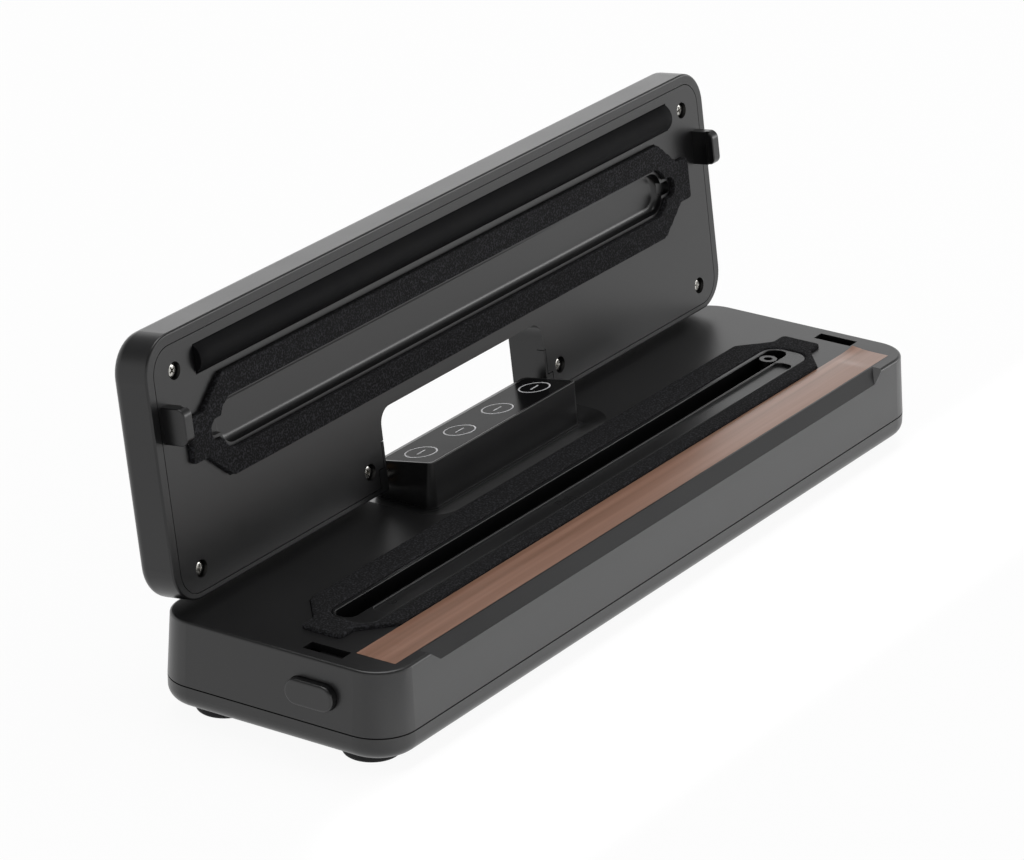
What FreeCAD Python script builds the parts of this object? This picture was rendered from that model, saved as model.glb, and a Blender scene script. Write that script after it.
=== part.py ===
import FreeCAD, Part
import math
import os
import re
import Sketcher
from FreeCAD import Placement, Rotation, Vector

# Countertop vacuum sealer, lid standing open. Millimetres, +Z up, X along the length, -Y the front.
# The origin lies under the middle of the whole, on the surface that the feet stand on.

SIZES = {
    # base
    "base_length": 360.0,
    "base_depth": 98.0,
    "base_shift": 7.61,
    "deck_height": 37.5,
    "deck_thick": 2.5,
    "parting_height": 13.8,
    "parting_gap": 0.5,
    "parting_lip": 0.9,
    "cover_height": 4.5,
    "wall": 2.5,
    "corner_radius": 14.0,
    "draft_out": 1.4,
    "edge_round": 1.2,
    "cover_round": 5.5,
    "fit_gap": 0.2,
    "cut_margin": 1.0,
    # finger bevel along the front edge
    "bevel_inset": 31.0,
    "bevel_spread": 6.0,
    "bevel_depth": 4.4,
    "bevel_drop": 4.3,
    # feet and case screws
    "foot_diameter": 21.0,
    "foot_seat": 1.0,
    "foot_round": 1.5,
    "foot_end_inset": 16.0,
    "foot_side_inset": 18.0,
    "boss_radius": 4.0,
    "boss_end_inset": 32.0,
    "boss_side_inset": 8.0,
    "screw_radius": 1.5,
    "screw_play": 0.15,
    "screw_bite": 8.0,
    "head_radius": 2.8,
    "head_height": 1.2,
    "case_head_sink": 1.5,
    # vacuum tray, nozzle and foam
    "tray_end_inset": 30.0,
    "tray_front_inset": 28.6,
    "tray_width": 18.9,
    "tray_corner": 7.0,
    "tray_depth": 12.0,
    "tray_floor": 1.5,
    "tray_lip": 0.8,
    "tray_flange": 3.0,
    "flange_thick": 0.6,
    "channel_width": 8.5,
    "channel_rim": 1.6,
    "rim_round": 0.3,
    "land_depth": 1.1,
    "land_corner": 2.5,
    "nozzle_inset": 11.0,
    "nozzle_radius": 3.4,
    "nozzle_bore": 1.7,
    "nozzle_collar": 3.9,
    "nozzle_stand": 0.5,
    "spigot_radius": 2.5,
    "gasket_front_inset": 21.4,
    "gasket_width": 37.6,
    "gasket_end_inset": 25.5,
    "taper_length": 12.5,
    "tab_reach": 8.0,
    "tab_width": 16.8,
    "tab_corner": 3.0,
    "gasket_seat": 1.6,
    "base_foam_rise": 1.3,
    # heater
    "heater_front_inset": 13.0,
    "heater_end_inset": 15.0,
    "heater_width": 5.0,
    "heater_sink": 1.5,
    "strip_thick": 0.2,
    "tape_end_inset": 11.5,
    "tape_width": 16.0,
    "tape_thick": 0.25,
    # control housing
    "box_length": 99.6,
    "box_rear_inset": 1.0,
    "box_depth": 26.5,
    "box_rise": 15.3,
    "box_draft": 1.5,
    "box_wall": 2.0,
    "box_corner": 3.5,
    "box_skirt": 0.5,
    "box_edge_round": 0.3,
    "seat_depth": 2.4,
    "seat_margin": 1.5,
    "seat_slope": 8.5,
    "panel_tilt": 9.8,
    "panel_thick": 1.2,
    "panel_border": 0.9,
    "panel_depth": 21.5,
    "panel_corner": 2.0,
    "board_thick": 1.6,
    "board_inset": 13.0,
    "board_width": 8.0,
    # hinge
    "hinge_rear_inset": 6.7,
    "hinge_rise": 7.0,
    "open_angle": 97.5,
    "pin_radius": 2.0,
    "pin_reach": 7.6,
    "pin_root": 9.0,
    "pin_boss": 4.0,
    "pin_play": 0.05,
    "bush_radius": 3.0,
    "press_gap": 0.02,
    # lid
    "closed_gap": 3.5,
    "lid_thick": 15.5,
    "lid_rear_reach": 4.6,
    "lid_corner": 14.0,
    "lid_round": 4.0,
    "lid_rim": 4.0,
    "lid_rear_rim": 2.2,
    "lid_rim_round": 0.8,
    "lid_ledge": 3.0,
    "lid_top_wall": 2.2,
    "plate_thick": 3.0,
    "plate_gap": 0.3,
    "notch_side_gap": 3.2,
    "notch_front_gap": 5.3,
    "notch_corner": 6.0,
    "hinge_block": 4.5,
    "block_lip": 1.2,
    "block_reach": 14.3,
    "bush_relief": 4.5,
    "lid_boss": 3.5,
    "lid_screw_end": 15.7,
    "lid_screw_front_inset": 13.8,
    "lid_screw_rear": 5.7,
    "lid_screw_beside": 9.9,
    "lid_head_sink": 2.3,
    "lid_foam_rise": 1.9,
    "lid_foam_seat": 1.0,
    "lid_channel_inset": 36.0,
    "lid_channel_width": 16.2,
    "lid_channel_depth": 3.5,
    "lid_channel_skin": 1.5,
    "lid_channel_round": 2.5,
    "lid_channel_corner": 7.0,
    "lid_channel_rim": 1.2,
    "nub_reach": 5.5,
    "nub_width": 5.0,
    "nub_depth": 2.0,
    "nub_corner": 2.0,
    "bar_end_inset": 27.0,
    "bar_width": 10.5,
    "bar_front_inset": 13.4,
    "bar_seat": 1.2,
    "bar_gap": 0.3,
    # latches
    "latch_inset": 8.05,
    "latch_front_inset": 30.6,
    "slot_width": 5.7,
    "slot_length": 16.2,
    "hook_width": 4.6,
    "hook_length": 13.4,
    "hook_drop": 9.5,
    "hook_corner": 3.0,
    "hook_round": 0.5,
    "barb_height": 1.6,
    "barb_depth": 1.3,
    "nose_height": 1.4,
    "nose_bite": 0.8,
    "nose_play": 0.25,
    "catch_thick": 1.6,
    "catch_width": 9.0,
    "upright_thick": 2.0,
    "upright_gap": 3.0,
    "button_length": 20.0,
    "button_height": 9.6,
    "button_drop": 12.6,
    "button_stand": 3.0,
    "button_round": 1.0,
    "button_flange": 1.4,
    "button_lap": 1.4,
    "spring_radius": 2.4,
    "spring_wall": 0.7,
    "spring_length": 12.0,
    "rib_thick": 1.6,
    "rib_height": 6.0,
    # pump and electrics
    "pump_length": 28.0,
    "pump_depth": 22.0,
    "pump_height": 24.0,
    "pump_rear_gap": 10.0,
    "port_lift": 1.0,
    "port_length": 6.0,
    "tube_radius": 4.0,
    "tube_bend": 7.0,
    "motor_radius": 12.0,
    "motor_length": 44.0,
    "motor_lift": 0.3,
    "board_length": 84.0,
    "board_depth": 40.0,
    "board_end_inset": 38.0,
    "board_rear_gap": 3.5,
    "post_height": 5.0,
    "post_radius": 3.0,
    "transformer_length": 28.0,
    "transformer_depth": 24.0,
    "transformer_height": 17.0,
    "capacitor_radius": 6.0,
    "capacitor_height": 16.0,
    "gland_end_inset": 70.0,
    "gland_drop": 14.0,
    "gland_radius": 4.2,
    "gland_flange": 2.0,
    "gland_bore": 1.9,
}

doc = FreeCAD.newDocument("vacuum_sealer")
dims = doc.addObject("Spreadsheet::Sheet", "dims")
for row, (size_name, size) in enumerate(SIZES.items(), start=1):
    dims.set(f"A{row}", size_name)
    dims.set(f"B{row}", str(size))
    dims.setAlias(f"B{row}", size_name)
doc.recompute()

ALIAS = re.compile(r"\b(" + "|".join(SIZES) + r")\b")
PLANES = {"top": "XY_Plane", "front": "XZ_Plane", "side": "YZ_Plane"}
SIDES = {"left": -1, "right": 1}
HALF_ROUND = 0.98
TOUCH = 0.001
parts = []

# Places that several pieces share, written as formulas of the sizes.
HALF = "(base_length / 2)"
FRONT = "(-base_depth / 2)"
REAR = "(base_depth / 2)"
CAVITY_TOP = "(deck_height - deck_thick)"
COVER_FLOOR = "(cover_height + wall)"
GASKET_HALF = "(gasket_width / 2)"
GASKET_MIDDLE = f"({FRONT} + gasket_front_inset + gasket_width / 2)"
GASKET_LONG = f"({HALF} - gasket_end_inset)"
TRAY_LONG = f"({HALF} - tray_end_inset)"
TRAY_FRONT = f"({FRONT} + tray_front_inset)"
TRAY_REAR = f"({FRONT} + tray_front_inset + tray_width)"
TRAY_FLOOR = "(deck_height - tray_depth)"
CHANNEL_REAR = f"({TRAY_REAR} - channel_rim)"
CHANNEL_MIDDLE = f"({TRAY_REAR} - channel_rim - channel_width / 2)"
NOZZLE_X = f"({TRAY_LONG} - nozzle_inset)"
HEATER_LONG = f"({HALF} - heater_end_inset)"
HEATER_Y = f"({FRONT} + heater_front_inset)"
SEAT_FLOOR = "(deck_height - seat_depth)"
BOX_HALF = "(box_length / 2)"
BOX_TOP = "(deck_height + box_rise)"
BOX_BACK = f"({REAR} - box_rear_inset)"
BOX_FRONT = f"({REAR} - box_rear_inset - box_depth)"
PANEL_FRONT = f"({BOX_FRONT} + box_draft)"
HINGE_Y = f"({REAR} - hinge_rear_inset)"
NOTCH_HALF = "(box_length / 2 + notch_side_gap)"
LATCH_X = f"({HALF} - latch_inset)"
LATCH_Y = f"({FRONT} + latch_front_inset)"
BUTTON_Z = "(deck_height - button_drop)"
PORT_Z = "(cover_height + wall + tube_radius + port_lift)"
PUMP_FRONT = f"({REAR} - wall - pump_rear_gap - pump_depth)"
BOARD_MIDDLE = f"(board_end_inset + board_length / 2 - {HALF})"
BOARD_FRONT = f"({REAR} - wall - board_rear_gap - board_depth)"
GLAND_X = f"(gland_end_inset - {HALF})"

# The lid is drawn shut, about its hinge axis, and then swung open.
LID_UNDER = "(closed_gap - hinge_rise)"
LID_TOP = "(closed_gap - hinge_rise + lid_thick)"
LID_FRONT = f"({FRONT} - {HINGE_Y})"
PLATE_BACK = "(closed_gap - hinge_rise + plate_thick)"
LID_FOAM_MIDDLE = f"({GASKET_MIDDLE} - {HINGE_Y})"
LID_NOTCH_EDGE = f"({BOX_FRONT} - notch_front_gap - {HINGE_Y})"
LID_CHANNEL_LONG = f"({HALF} - lid_channel_inset)"
BAR_LONG = f"({HALF} - bar_end_inset)"
BAR_Y = f"({LID_FRONT} + bar_front_inset)"


def ref(text):
    """Point the size names of a formula at the sheet."""
    return ALIAS.sub(r"dims.\1", text)


def number(text):
    """The present value of a formula."""
    found = dims.evalExpression(ref(text))
    return float(getattr(found, "Value", found))


def new_body(label):
    """A sub-part of the base, drawn about the middle of the base."""
    body = doc.addObject("PartDesign::Body", label)
    body.Label = label
    body.setExpression("Placement.Base.y", ref("-base_shift"))
    parts.append(body)
    return body


def new_lid_body(label):
    """A sub-part of the lid, drawn shut about the hinge axis and swung open."""
    body = new_body(label)
    body.Placement = Placement(Vector(0, 0, 0), Rotation(Vector(-1, 0, 0), SIZES["open_angle"]))
    body.setExpression("Placement.Base.y", ref(f"{HINGE_Y} - base_shift"))
    body.setExpression("Placement.Base.z", ref("deck_height + hinge_rise"))
    body.setExpression("Placement.Rotation.Angle", ref("open_angle"))
    return body


def new_sketch(body, plane, level):
    """A sketch on one of the body's own planes, moved along its normal (front planes face -Y)."""
    sketch = body.newObject("Sketcher::SketchObject", body.Label + "_outline")
    support = next(item for item in body.Origin.OriginFeatures if item.Role == PLANES[plane])
    sketch.AttachmentSupport = [(support, "")]
    sketch.MapMode = "FlatFace"
    sketch.setExpression("AttachmentOffset.Base.z", ref(level))
    return sketch


def bind(sketch, constraint, text):
    """Add a constraint and tie its value to a formula."""
    constraint.Name = f"size{sketch.ConstraintCount}"
    sketch.addConstraint(constraint)
    sketch.setExpression(f"Constraints.{constraint.Name}", ref(text))


def pin(sketch, item, end, across, along):
    """Fix one point of a sketch by its two distances from the sketch's origin."""
    bind(sketch, Sketcher.Constraint("DistanceX", -1, 1, item, end, number(across)), across)
    bind(sketch, Sketcher.Constraint("DistanceY", -1, 1, item, end, number(along)), along)


def add_loop(sketch, corners):
    """A closed outline of square corners, each (across, along, radius or None), counterclockwise."""
    count = len(corners)
    flat = [Vector(number(x), number(y), 0) for x, y, radius in corners]
    steps = [(flat[(i + 1) % count] - flat[i]).normalize() for i in range(count)]

    def shifted(index, step, sign):
        x, y, radius = corners[index]
        if radius is None:
            return x, y
        both = ((x, step.x), (y, step.y))
        return tuple(f"{place} + {sign * round(turned, 6)} * ({radius})" for place, turned in both)

    starts = [shifted(i, steps[i], 1) for i in range(count)]
    ends = [shifted((i + 1) % count, steps[i], -1) for i in range(count)]
    lines = []
    for start, end in zip(starts, ends):
        tip = Vector(number(end[0]), number(end[1]), 0)
        line = Part.LineSegment(Vector(number(start[0]), number(start[1]), 0), tip)
        lines.append(sketch.addGeometry(line))
        pin(sketch, lines[-1], 1, *start)
        pin(sketch, lines[-1], 2, *end)
    for i in range(count):
        before = (i - 1) % count
        radius = corners[i][2]
        if radius is None:
            continue
        size = number(radius)
        centre = flat[i] - steps[before] * size + steps[i] * size
        turn = steps[before].cross(steps[i]).z
        first, last = (lines[before], lines[i]) if turn > 0 else (lines[i], lines[before])
        spoke = flat[i] - (steps[before] if turn > 0 else -steps[i]) * size - centre
        angle = Vector(1, 0, 0).getAngle(spoke) * (1 if spoke.y >= 0 else -1)
        circle = Part.Circle(centre, Vector(0, 0, 1), size)
        arc = sketch.addGeometry(Part.ArcOfCircle(circle, angle, angle + math.pi / 2))
        first_end, last_end = (2, 1) if turn > 0 else (1, 2)
        sketch.addConstraint(Sketcher.Constraint("Tangent", first, first_end, arc, 1))
        sketch.addConstraint(Sketcher.Constraint("Coincident", arc, 2, last, last_end))


def add_circle(sketch, across, along, radius):
    """A circle with its centre and radius tied to formulas."""
    centre = Vector(number(across), number(along), 0)
    item = sketch.addGeometry(Part.Circle(centre, Vector(0, 0, 1), number(radius)))
    pin(sketch, item, 3, across, along)
    bind(sketch, Sketcher.Constraint("Radius", item, number(radius)), radius)


def box_corners(left, right, low, high, radius=None):
    """The four corners of a rectangle, for add_loop."""
    return [(left, low, radius), (right, low, radius), (right, high, radius), (left, high, radius)]


def extrude(body, sketch, length, cut=False, back=False, middle=False):
    """Pad a sketch along its normal, or cut a pocket against it; back turns that round."""
    kind = "PartDesign::Pocket" if cut else "PartDesign::Pad"
    feature = body.newObject(kind, body.Label + ("_cut" if cut else "_pad"))
    feature.Profile = sketch
    feature.setExpression("Length", ref(length))
    feature.Reversed = back
    if middle:
        feature.SideType = "Symmetric"
    return feature


def slab(body, corners, low, height, cut=False):
    """Pad or cut a level outline upwards from a height."""
    sketch = new_sketch(body, "top", low)
    add_loop(sketch, corners)
    return extrude(body, sketch, height, cut=cut, back=cut)


def columns(body, centres, radius, low, height, cut=False):
    """Upright round columns or holes, from a height upwards."""
    sketch = new_sketch(body, "top", low)
    for across, along in centres:
        add_circle(sketch, across, along, radius)
    return extrude(body, sketch, height, cut=cut, back=cut)


def soften(body, radius, chosen):
    """Round the edges of the body so far that a test picks."""
    doc.recompute()
    base = body.Tip
    names = [f"Edge{i}" for i, edge in enumerate(base.Shape.Edges, start=1) if chosen(edge)]
    fillet = body.newObject("PartDesign::Fillet", body.Label + "_round")
    fillet.Base = (base, names)
    fillet.setExpression("Radius", ref(radius))


def level_at(edge, height):
    """Whether an edge lies flat at a height."""
    box = edge.BoundBox
    return abs(box.ZMin - number(height)) < TOUCH and abs(box.ZMax - number(height)) < TOUCH


def spread_corners(margin, radius):
    """The base's outline, grown on all sides."""
    across = f"({HALF} + {margin})"
    along = f"(base_depth / 2 + {margin})"
    return box_corners(f"-{across}", across, f"-{along}", along, radius)


def foam_corners(middle, grow):
    """The gasket's outline: a long frame whose ends slope in to narrower tabs."""
    shoulder = f"({GASKET_LONG} - taper_length + {grow})"
    neck = f"({GASKET_LONG} + {grow})"
    tip = f"({GASKET_LONG} + tab_reach + {grow})"
    frame_front, frame_rear = (f"{middle} {sign} ({GASKET_HALF} + {grow})" for sign in "-+")
    tab_front, tab_rear = (f"{middle} {sign} (tab_width / 2 + {grow})" for sign in "-+")
    corner = f"tab_corner + {grow}"
    right = [(shoulder, frame_front, None), (neck, tab_front, None), (tip, tab_front, corner),
             (tip, tab_rear, corner), (neck, tab_rear, None), (shoulder, frame_rear, None)]
    return right + mirrored(right)


def tray_corners(grow, radius):
    """The tray's outline, grown on all sides."""
    across = f"({TRAY_LONG} + {grow})"
    return box_corners(f"-{across}", across, f"({TRAY_FRONT} - {grow})", f"({TRAY_REAR} + {grow})", radius)


def lid_channel_plans(grow):
    """The lid's suction channel as two overlapping plans: the channel, and the small nubs at its ends."""
    sizes = ((LID_CHANNEL_LONG, "lid_channel_width", "lid_channel_corner"),
             (f"{LID_CHANNEL_LONG} + nub_reach", "nub_width", "nub_corner"))
    for reach, wide, corner in sizes:
        across = f"({reach} + {grow})"
        along = f"({wide} / 2 + {grow})"
        front, rear = (f"{LID_FOAM_MIDDLE} {sign} {along}" for sign in "-+")
        yield box_corners(f"-{across}", across, front, rear, f"{corner} + {grow}")


def boss_places():
    """Where the case screws stand: near the four corners and at the middle of the long sides."""
    across = f"({HALF} - boss_end_inset)"
    along = "(base_depth / 2 - boss_side_inset)"
    return [(x, y) for x in (f"-{across}", "0", across) for y in (f"-{along}", along)]


def foot_places():
    """Where the feet stand."""
    across = f"({HALF} - foot_end_inset)"
    along = "(base_depth / 2 - foot_side_inset)"
    return [(x, y) for x in (f"-{across}", across) for y in (f"-{along}", along)]


def lid_screw_places():
    """Where the lid screws stand, about the hinge axis: four at the corners, two beside the notch."""
    across = f"({HALF} - lid_screw_end)"
    front = f"({LID_FRONT} + lid_screw_front_inset)"
    rear = "(-lid_screw_rear)"
    corners = [(x, y) for x in (f"-{across}", across) for y in (front, rear)]
    return corners + [(f"{sign} * ({NOTCH_HALF} + lid_screw_beside)", rear) for sign in SIDES.values()]


def make_base_housing():
    """The drafted upper case with its deck, slots, seats and screw bosses."""
    body = new_body("base_housing")
    rise = "(deck_height - parting_height)"
    sketch = new_sketch(body, "top", "parting_height")
    add_loop(sketch, spread_corners("draft_out", "corner_radius + draft_out"))
    case = extrude(body, sketch, rise)
    case.setExpression("TaperAngle", ref(f"-atan(draft_out / {rise})"))
    soften(body, "edge_round", lambda edge: level_at(edge, "deck_height"))
    inside = spread_corners("-wall", "corner_radius - wall")
    slab(body, inside, "parting_height", f"{CAVITY_TOP} - parting_height", True)

    # A floor under the sunk seat of the control housing, then the seat, sloped and open to the rear.
    seat_half = f"({BOX_HALF} + seat_margin)"
    seat_front = f"({BOX_FRONT} - seat_margin)"
    floor_half = f"({seat_half} + seat_slope)"
    floor_rear = "(base_depth / 2 - wall / 2)"
    floor = box_corners(f"-{floor_half}", floor_half, f"{seat_front} - seat_slope", floor_rear)
    slab(body, floor, f"{SEAT_FLOOR} - deck_thick", "seat_depth + deck_thick / 2")
    plan = box_corners(f"-{seat_half}", seat_half, seat_front, "base_depth", "box_corner")
    seat = slab(body, plan, SEAT_FLOOR, "seat_depth", True)
    seat.setExpression("TaperAngle", ref("atan(seat_slope / seat_depth)"))

    # Tray opening, gasket seat, heater groove and latch slots.
    through = (f"{CAVITY_TOP} - cut_margin", "deck_thick + 2 * cut_margin", True)
    slab(body, tray_corners("fit_gap", "tray_corner + fit_gap"), *through)
    slab(body, foam_corners(GASKET_MIDDLE, "fit_gap"), "deck_height - gasket_seat", "gasket_seat + cut_margin", True)
    groove = box_corners(f"-{HEATER_LONG} - fit_gap", f"{HEATER_LONG} + fit_gap",
                         f"{HEATER_Y} - heater_width / 2 - fit_gap", f"{HEATER_Y} + heater_width / 2 + fit_gap")
    slab(body, groove, "deck_height - heater_sink - strip_thick", "heater_sink + cut_margin", True)
    for sign in SIDES.values():
        slot = box_corners(f"{sign} * {LATCH_X} - slot_width / 2", f"{sign} * {LATCH_X} + slot_width / 2",
                           f"{LATCH_Y} - slot_length / 2", f"{LATCH_Y} + slot_length / 2")
        slab(body, slot, *through)

    # Finger bevel: a wedge that spreads towards the deck.
    wedge = body.newObject("PartDesign::SubtractiveWedge", "base_housing_bevel")
    wedge.Placement = Placement(Vector(0, 0, 0), Rotation(Vector(1, 0, 0), 90))
    wedge.setExpression("Placement.Base.z", ref("deck_height - bevel_drop"))
    low_half = f"{HALF} - bevel_inset"
    high_half = f"{HALF} - bevel_inset + bevel_spread"
    wedge_sizes = {
        "Xmin": f"-({low_half})", "Xmax": low_half, "X2min": f"-({high_half})", "X2max": high_half,
        "Ymin": "0", "Ymax": "bevel_drop", "Zmin": "base_depth / 2", "Zmax": "base_depth / 2 + bevel_depth",
        "Z2min": "base_depth / 2 - bevel_depth", "Z2max": "base_depth / 2 + bevel_depth",
    }
    for size_name in ("Xmax", "X2max", "Ymax", "Zmax", "Z2max", "Xmin", "X2min", "Ymin", "Zmin", "Z2min"):
        wedge.setExpression(size_name, ref(wedge_sizes[size_name]))

    # Openings for the two release buttons and the cord.
    sketch = new_sketch(body, "side", "0")
    add_loop(sketch, button_corners("fit_gap"))
    extrude(body, sketch, "base_length + 4 * draft_out", cut=True, middle=True)
    sketch = new_sketch(body, "front", "-base_depth / 2 - 2 * draft_out")
    add_circle(sketch, GLAND_X, "deck_height - gland_drop", "gland_radius + fit_gap")
    extrude(body, sketch, "2 * draft_out + 2 * wall", cut=True, back=True)

    # Screw bosses, the one under the seat shorter, and the ribs behind the latch springs.
    for place in boss_places():
        under_seat = number(place[0]) == 0 and number(place[1]) > 0
        top = f"({SEAT_FLOOR} - deck_thick / 2)" if under_seat else f"({CAVITY_TOP} + deck_thick / 4)"
        columns(body, [place], "boss_radius", COVER_FLOOR, f"{top} - {COVER_FLOOR}")
    columns(body, boss_places(), "screw_radius + screw_play", COVER_FLOOR, "screw_bite + cut_margin", True)
    for sign in SIDES.values():
        inner = f"({LATCH_X} - hook_width / 2 - upright_gap - upright_thick - spring_length)"
        edges = sorted([f"{sign} * {inner}", f"{sign} * ({inner} - rib_thick)"], key=number)
        rib = box_corners(edges[0], edges[1], f"{LATCH_Y} - catch_width / 2", f"{LATCH_Y} + catch_width / 2")
        slab(body, rib, f"{CAVITY_TOP} - rib_height", "rib_height + deck_thick / 4")


def button_corners(grow):
    """The release button's outline on an end wall, with nearly half-round ends."""
    half = f"(button_length / 2 + {grow})"
    tall = f"(button_height / 2 + {grow})"
    return box_corners(f"{LATCH_Y} - {half}", f"{LATCH_Y} + {half}", f"{BUTTON_Z} - {tall}",
                       f"{BUTTON_Z} + {tall}", f"{tall} * {HALF_ROUND}")


def make_bottom_cover():
    """The lower pan with foot seats, screw holes and the posts of the power board."""
    body = new_body("bottom_cover")
    rise = "parting_height - cover_height"
    outline = spread_corners("draft_out", "corner_radius + draft_out")
    slab(body, outline, "cover_height", f"{rise} - parting_gap")
    soften(body, "cover_round", lambda edge: level_at(edge, "cover_height"))
    lip = "(draft_out - parting_lip)"
    inner_lip = spread_corners(lip, f"corner_radius + {lip}")
    slab(body, inner_lip, f"{COVER_FLOOR} + cover_round", f"{rise} - wall - cover_round")
    inside = spread_corners("-wall", "corner_radius - wall")
    slab(body, inside, COVER_FLOOR, "parting_height - cover_height", True)
    below = "cover_height - cut_margin"
    columns(body, foot_places(), "foot_diameter / 2 + fit_gap", below, "foot_seat + cut_margin", True)
    columns(body, boss_places(), "screw_radius + screw_play", below, "wall + 2 * cut_margin", True)
    columns(body, boss_places(), "head_radius + fit_gap", below, "case_head_sink + cut_margin", True)
    columns(body, post_places(), "post_radius", f"{COVER_FLOOR} - wall / 4", "post_height + wall / 4")


def post_places():
    """Posts near the corners of the power board."""
    across = "(board_length / 2 - 2 * post_radius)"
    return [(f"{BOARD_MIDDLE} + {sign} * {across}", y) for sign in SIDES.values()
            for y in (f"{BOARD_FRONT} + 2 * post_radius", f"{BOARD_FRONT} + board_depth - 2 * post_radius")]


def make_feet():
    """Four round rubber feet."""
    body = new_body("feet")
    columns(body, foot_places(), "foot_diameter / 2", "0", "cover_height + foot_seat")
    soften(body, "foot_round", lambda edge: level_at(edge, "0"))


def make_screws(body, places, face, sink, length):
    """Pan-head screws: heads sunk below a face, shanks going up from them."""
    columns(body, places, "head_radius", f"{face} + {sink} - head_height", "head_height")
    columns(body, places, "screw_radius", f"{face} + {sink} - head_height / 2", f"{length} + head_height / 2")


def make_vacuum_tray():
    """The suction tray: a deep channel, a shallow land before it and a flange under the foam."""
    body = new_body("vacuum_tray")
    bottom = f"({TRAY_FLOOR} - tray_floor)"
    slab(body, tray_corners("0", "tray_corner"), bottom, f"deck_height + tray_lip - {bottom}")
    flange = tray_corners("tray_flange", "tray_corner + tray_flange")
    slab(body, flange, "deck_height - gasket_seat", "flange_thick")
    across = f"({TRAY_LONG} - channel_rim)"
    channel = box_corners(f"-{across}", across, f"{CHANNEL_REAR} - channel_width", CHANNEL_REAR,
                          f"channel_width / 2 * {HALF_ROUND}")
    slab(body, channel, TRAY_FLOOR, "tray_depth + 2 * tray_lip", True)
    land = box_corners(f"-{across} + nozzle_inset", f"{across} - nozzle_inset", f"{TRAY_FRONT} + channel_rim / 2",
                       f"{CHANNEL_REAR} - channel_width - channel_rim / 2", "land_corner")
    slab(body, land, "deck_height + tray_lip - land_depth", "land_depth + cut_margin", True)
    soften(body, "rim_round", lambda edge: level_at(edge, "deck_height + tray_lip"))
    columns(body, [(NOZZLE_X, CHANNEL_MIDDLE)], "spigot_radius + fit_gap", f"{bottom} - cut_margin",
            "tray_floor + 2 * cut_margin", True)


def make_air_nozzle():
    """The hollow suction post at the right end of the channel, with a spigot below the tray."""
    body = new_body("air_nozzle")
    place = [(NOZZLE_X, CHANNEL_MIDDLE)]
    below = f"({PORT_Z} + tube_bend + fit_gap)"
    columns(body, place, "nozzle_radius", TRAY_FLOOR, "tray_depth + nozzle_stand")
    columns(body, place, "nozzle_collar", TRAY_FLOOR, "tray_floor")
    columns(body, place, "spigot_radius", below, f"{TRAY_FLOOR} + tray_floor - {below}")
    bore = f"deck_height + nozzle_stand + 2 * cut_margin - {below}"
    columns(body, place, "nozzle_bore", f"{below} - cut_margin", bore, True)


def make_air_tube():
    """The soft tube from the nozzle's spigot down and back to the pump's port."""
    body = new_body("air_tube")
    top = f"({TRAY_FLOOR} - tray_floor - fit_gap)"
    path = new_sketch(body, "side", NOZZLE_X)
    y_start = number(CHANNEL_MIDDLE)
    z_low = number(PORT_Z)
    bend = number("tube_bend")
    y_end = number(f"{PUMP_FRONT} - fit_gap")
    down = path.addGeometry(Part.LineSegment(Vector(y_start, number(top), 0), Vector(y_start, z_low + bend, 0)))
    turn = Part.Circle(Vector(y_start + bend, z_low + bend, 0), Vector(0, 0, 1), bend)
    arc = path.addGeometry(Part.ArcOfCircle(turn, math.pi, 1.5 * math.pi))
    level = path.addGeometry(Part.LineSegment(Vector(y_start + bend, z_low, 0), Vector(y_end, z_low, 0)))
    pin(path, down, 1, CHANNEL_MIDDLE, top)
    pin(path, level, 2, f"{PUMP_FRONT} - fit_gap", PORT_Z)
    path.addConstraint(Sketcher.Constraint("Vertical", down))
    path.addConstraint(Sketcher.Constraint("Horizontal", level))
    path.addConstraint(Sketcher.Constraint("Tangent", down, 2, arc, 1))
    path.addConstraint(Sketcher.Constraint("Tangent", arc, 2, level, 1))
    bind(path, Sketcher.Constraint("Radius", arc, bend), "tube_bend")
    ring = new_sketch(body, "top", top)
    for radius in ("tube_radius", "spigot_radius + fit_gap / 2"):
        add_circle(ring, NOZZLE_X, CHANNEL_MIDDLE, radius)
    pipe = body.newObject("PartDesign::AdditivePipe", "air_tube_pipe")
    pipe.Profile = ring
    pipe.Spine = path


def make_base_gasket():
    """The lower foam ring round the tray."""
    body = new_body("base_gasket")
    low = "deck_height - gasket_seat + flange_thick"
    thick = "gasket_seat - flange_thick + base_foam_rise"
    slab(body, foam_corners(GASKET_MIDDLE, "0"), low, thick)
    opening = tray_corners("fit_gap", "tray_corner + fit_gap")
    slab(body, opening, f"{low} - cut_margin", f"{thick} + 2 * cut_margin", True)


def make_heater():
    """The heater: an insulating backing in the groove, the strip on it and the tape over both."""
    backing = new_body("heater_backing")
    low = f"{HEATER_Y} - heater_width / 2"
    high = f"{HEATER_Y} + heater_width / 2"
    plan = box_corners(f"-{HEATER_LONG}", HEATER_LONG, low, high)
    slab(backing, plan, "deck_height - heater_sink - strip_thick", "heater_sink")
    strip = new_body("heating_strip")
    plan = box_corners(f"-{HEATER_LONG} + heater_width", f"{HEATER_LONG} - heater_width", f"{low} + heater_width / 5",
                       f"{high} - heater_width / 5")
    slab(strip, plan, "deck_height - strip_thick", "strip_thick")
    tape = new_body("seal_tape")
    across = f"({HALF} - tape_end_inset)"
    plan = box_corners(f"-{across}", across, f"{HEATER_Y} - tape_width / 2", f"{HEATER_Y} + tape_width / 2")
    slab(tape, plan, "deck_height", "tape_thick")


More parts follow.
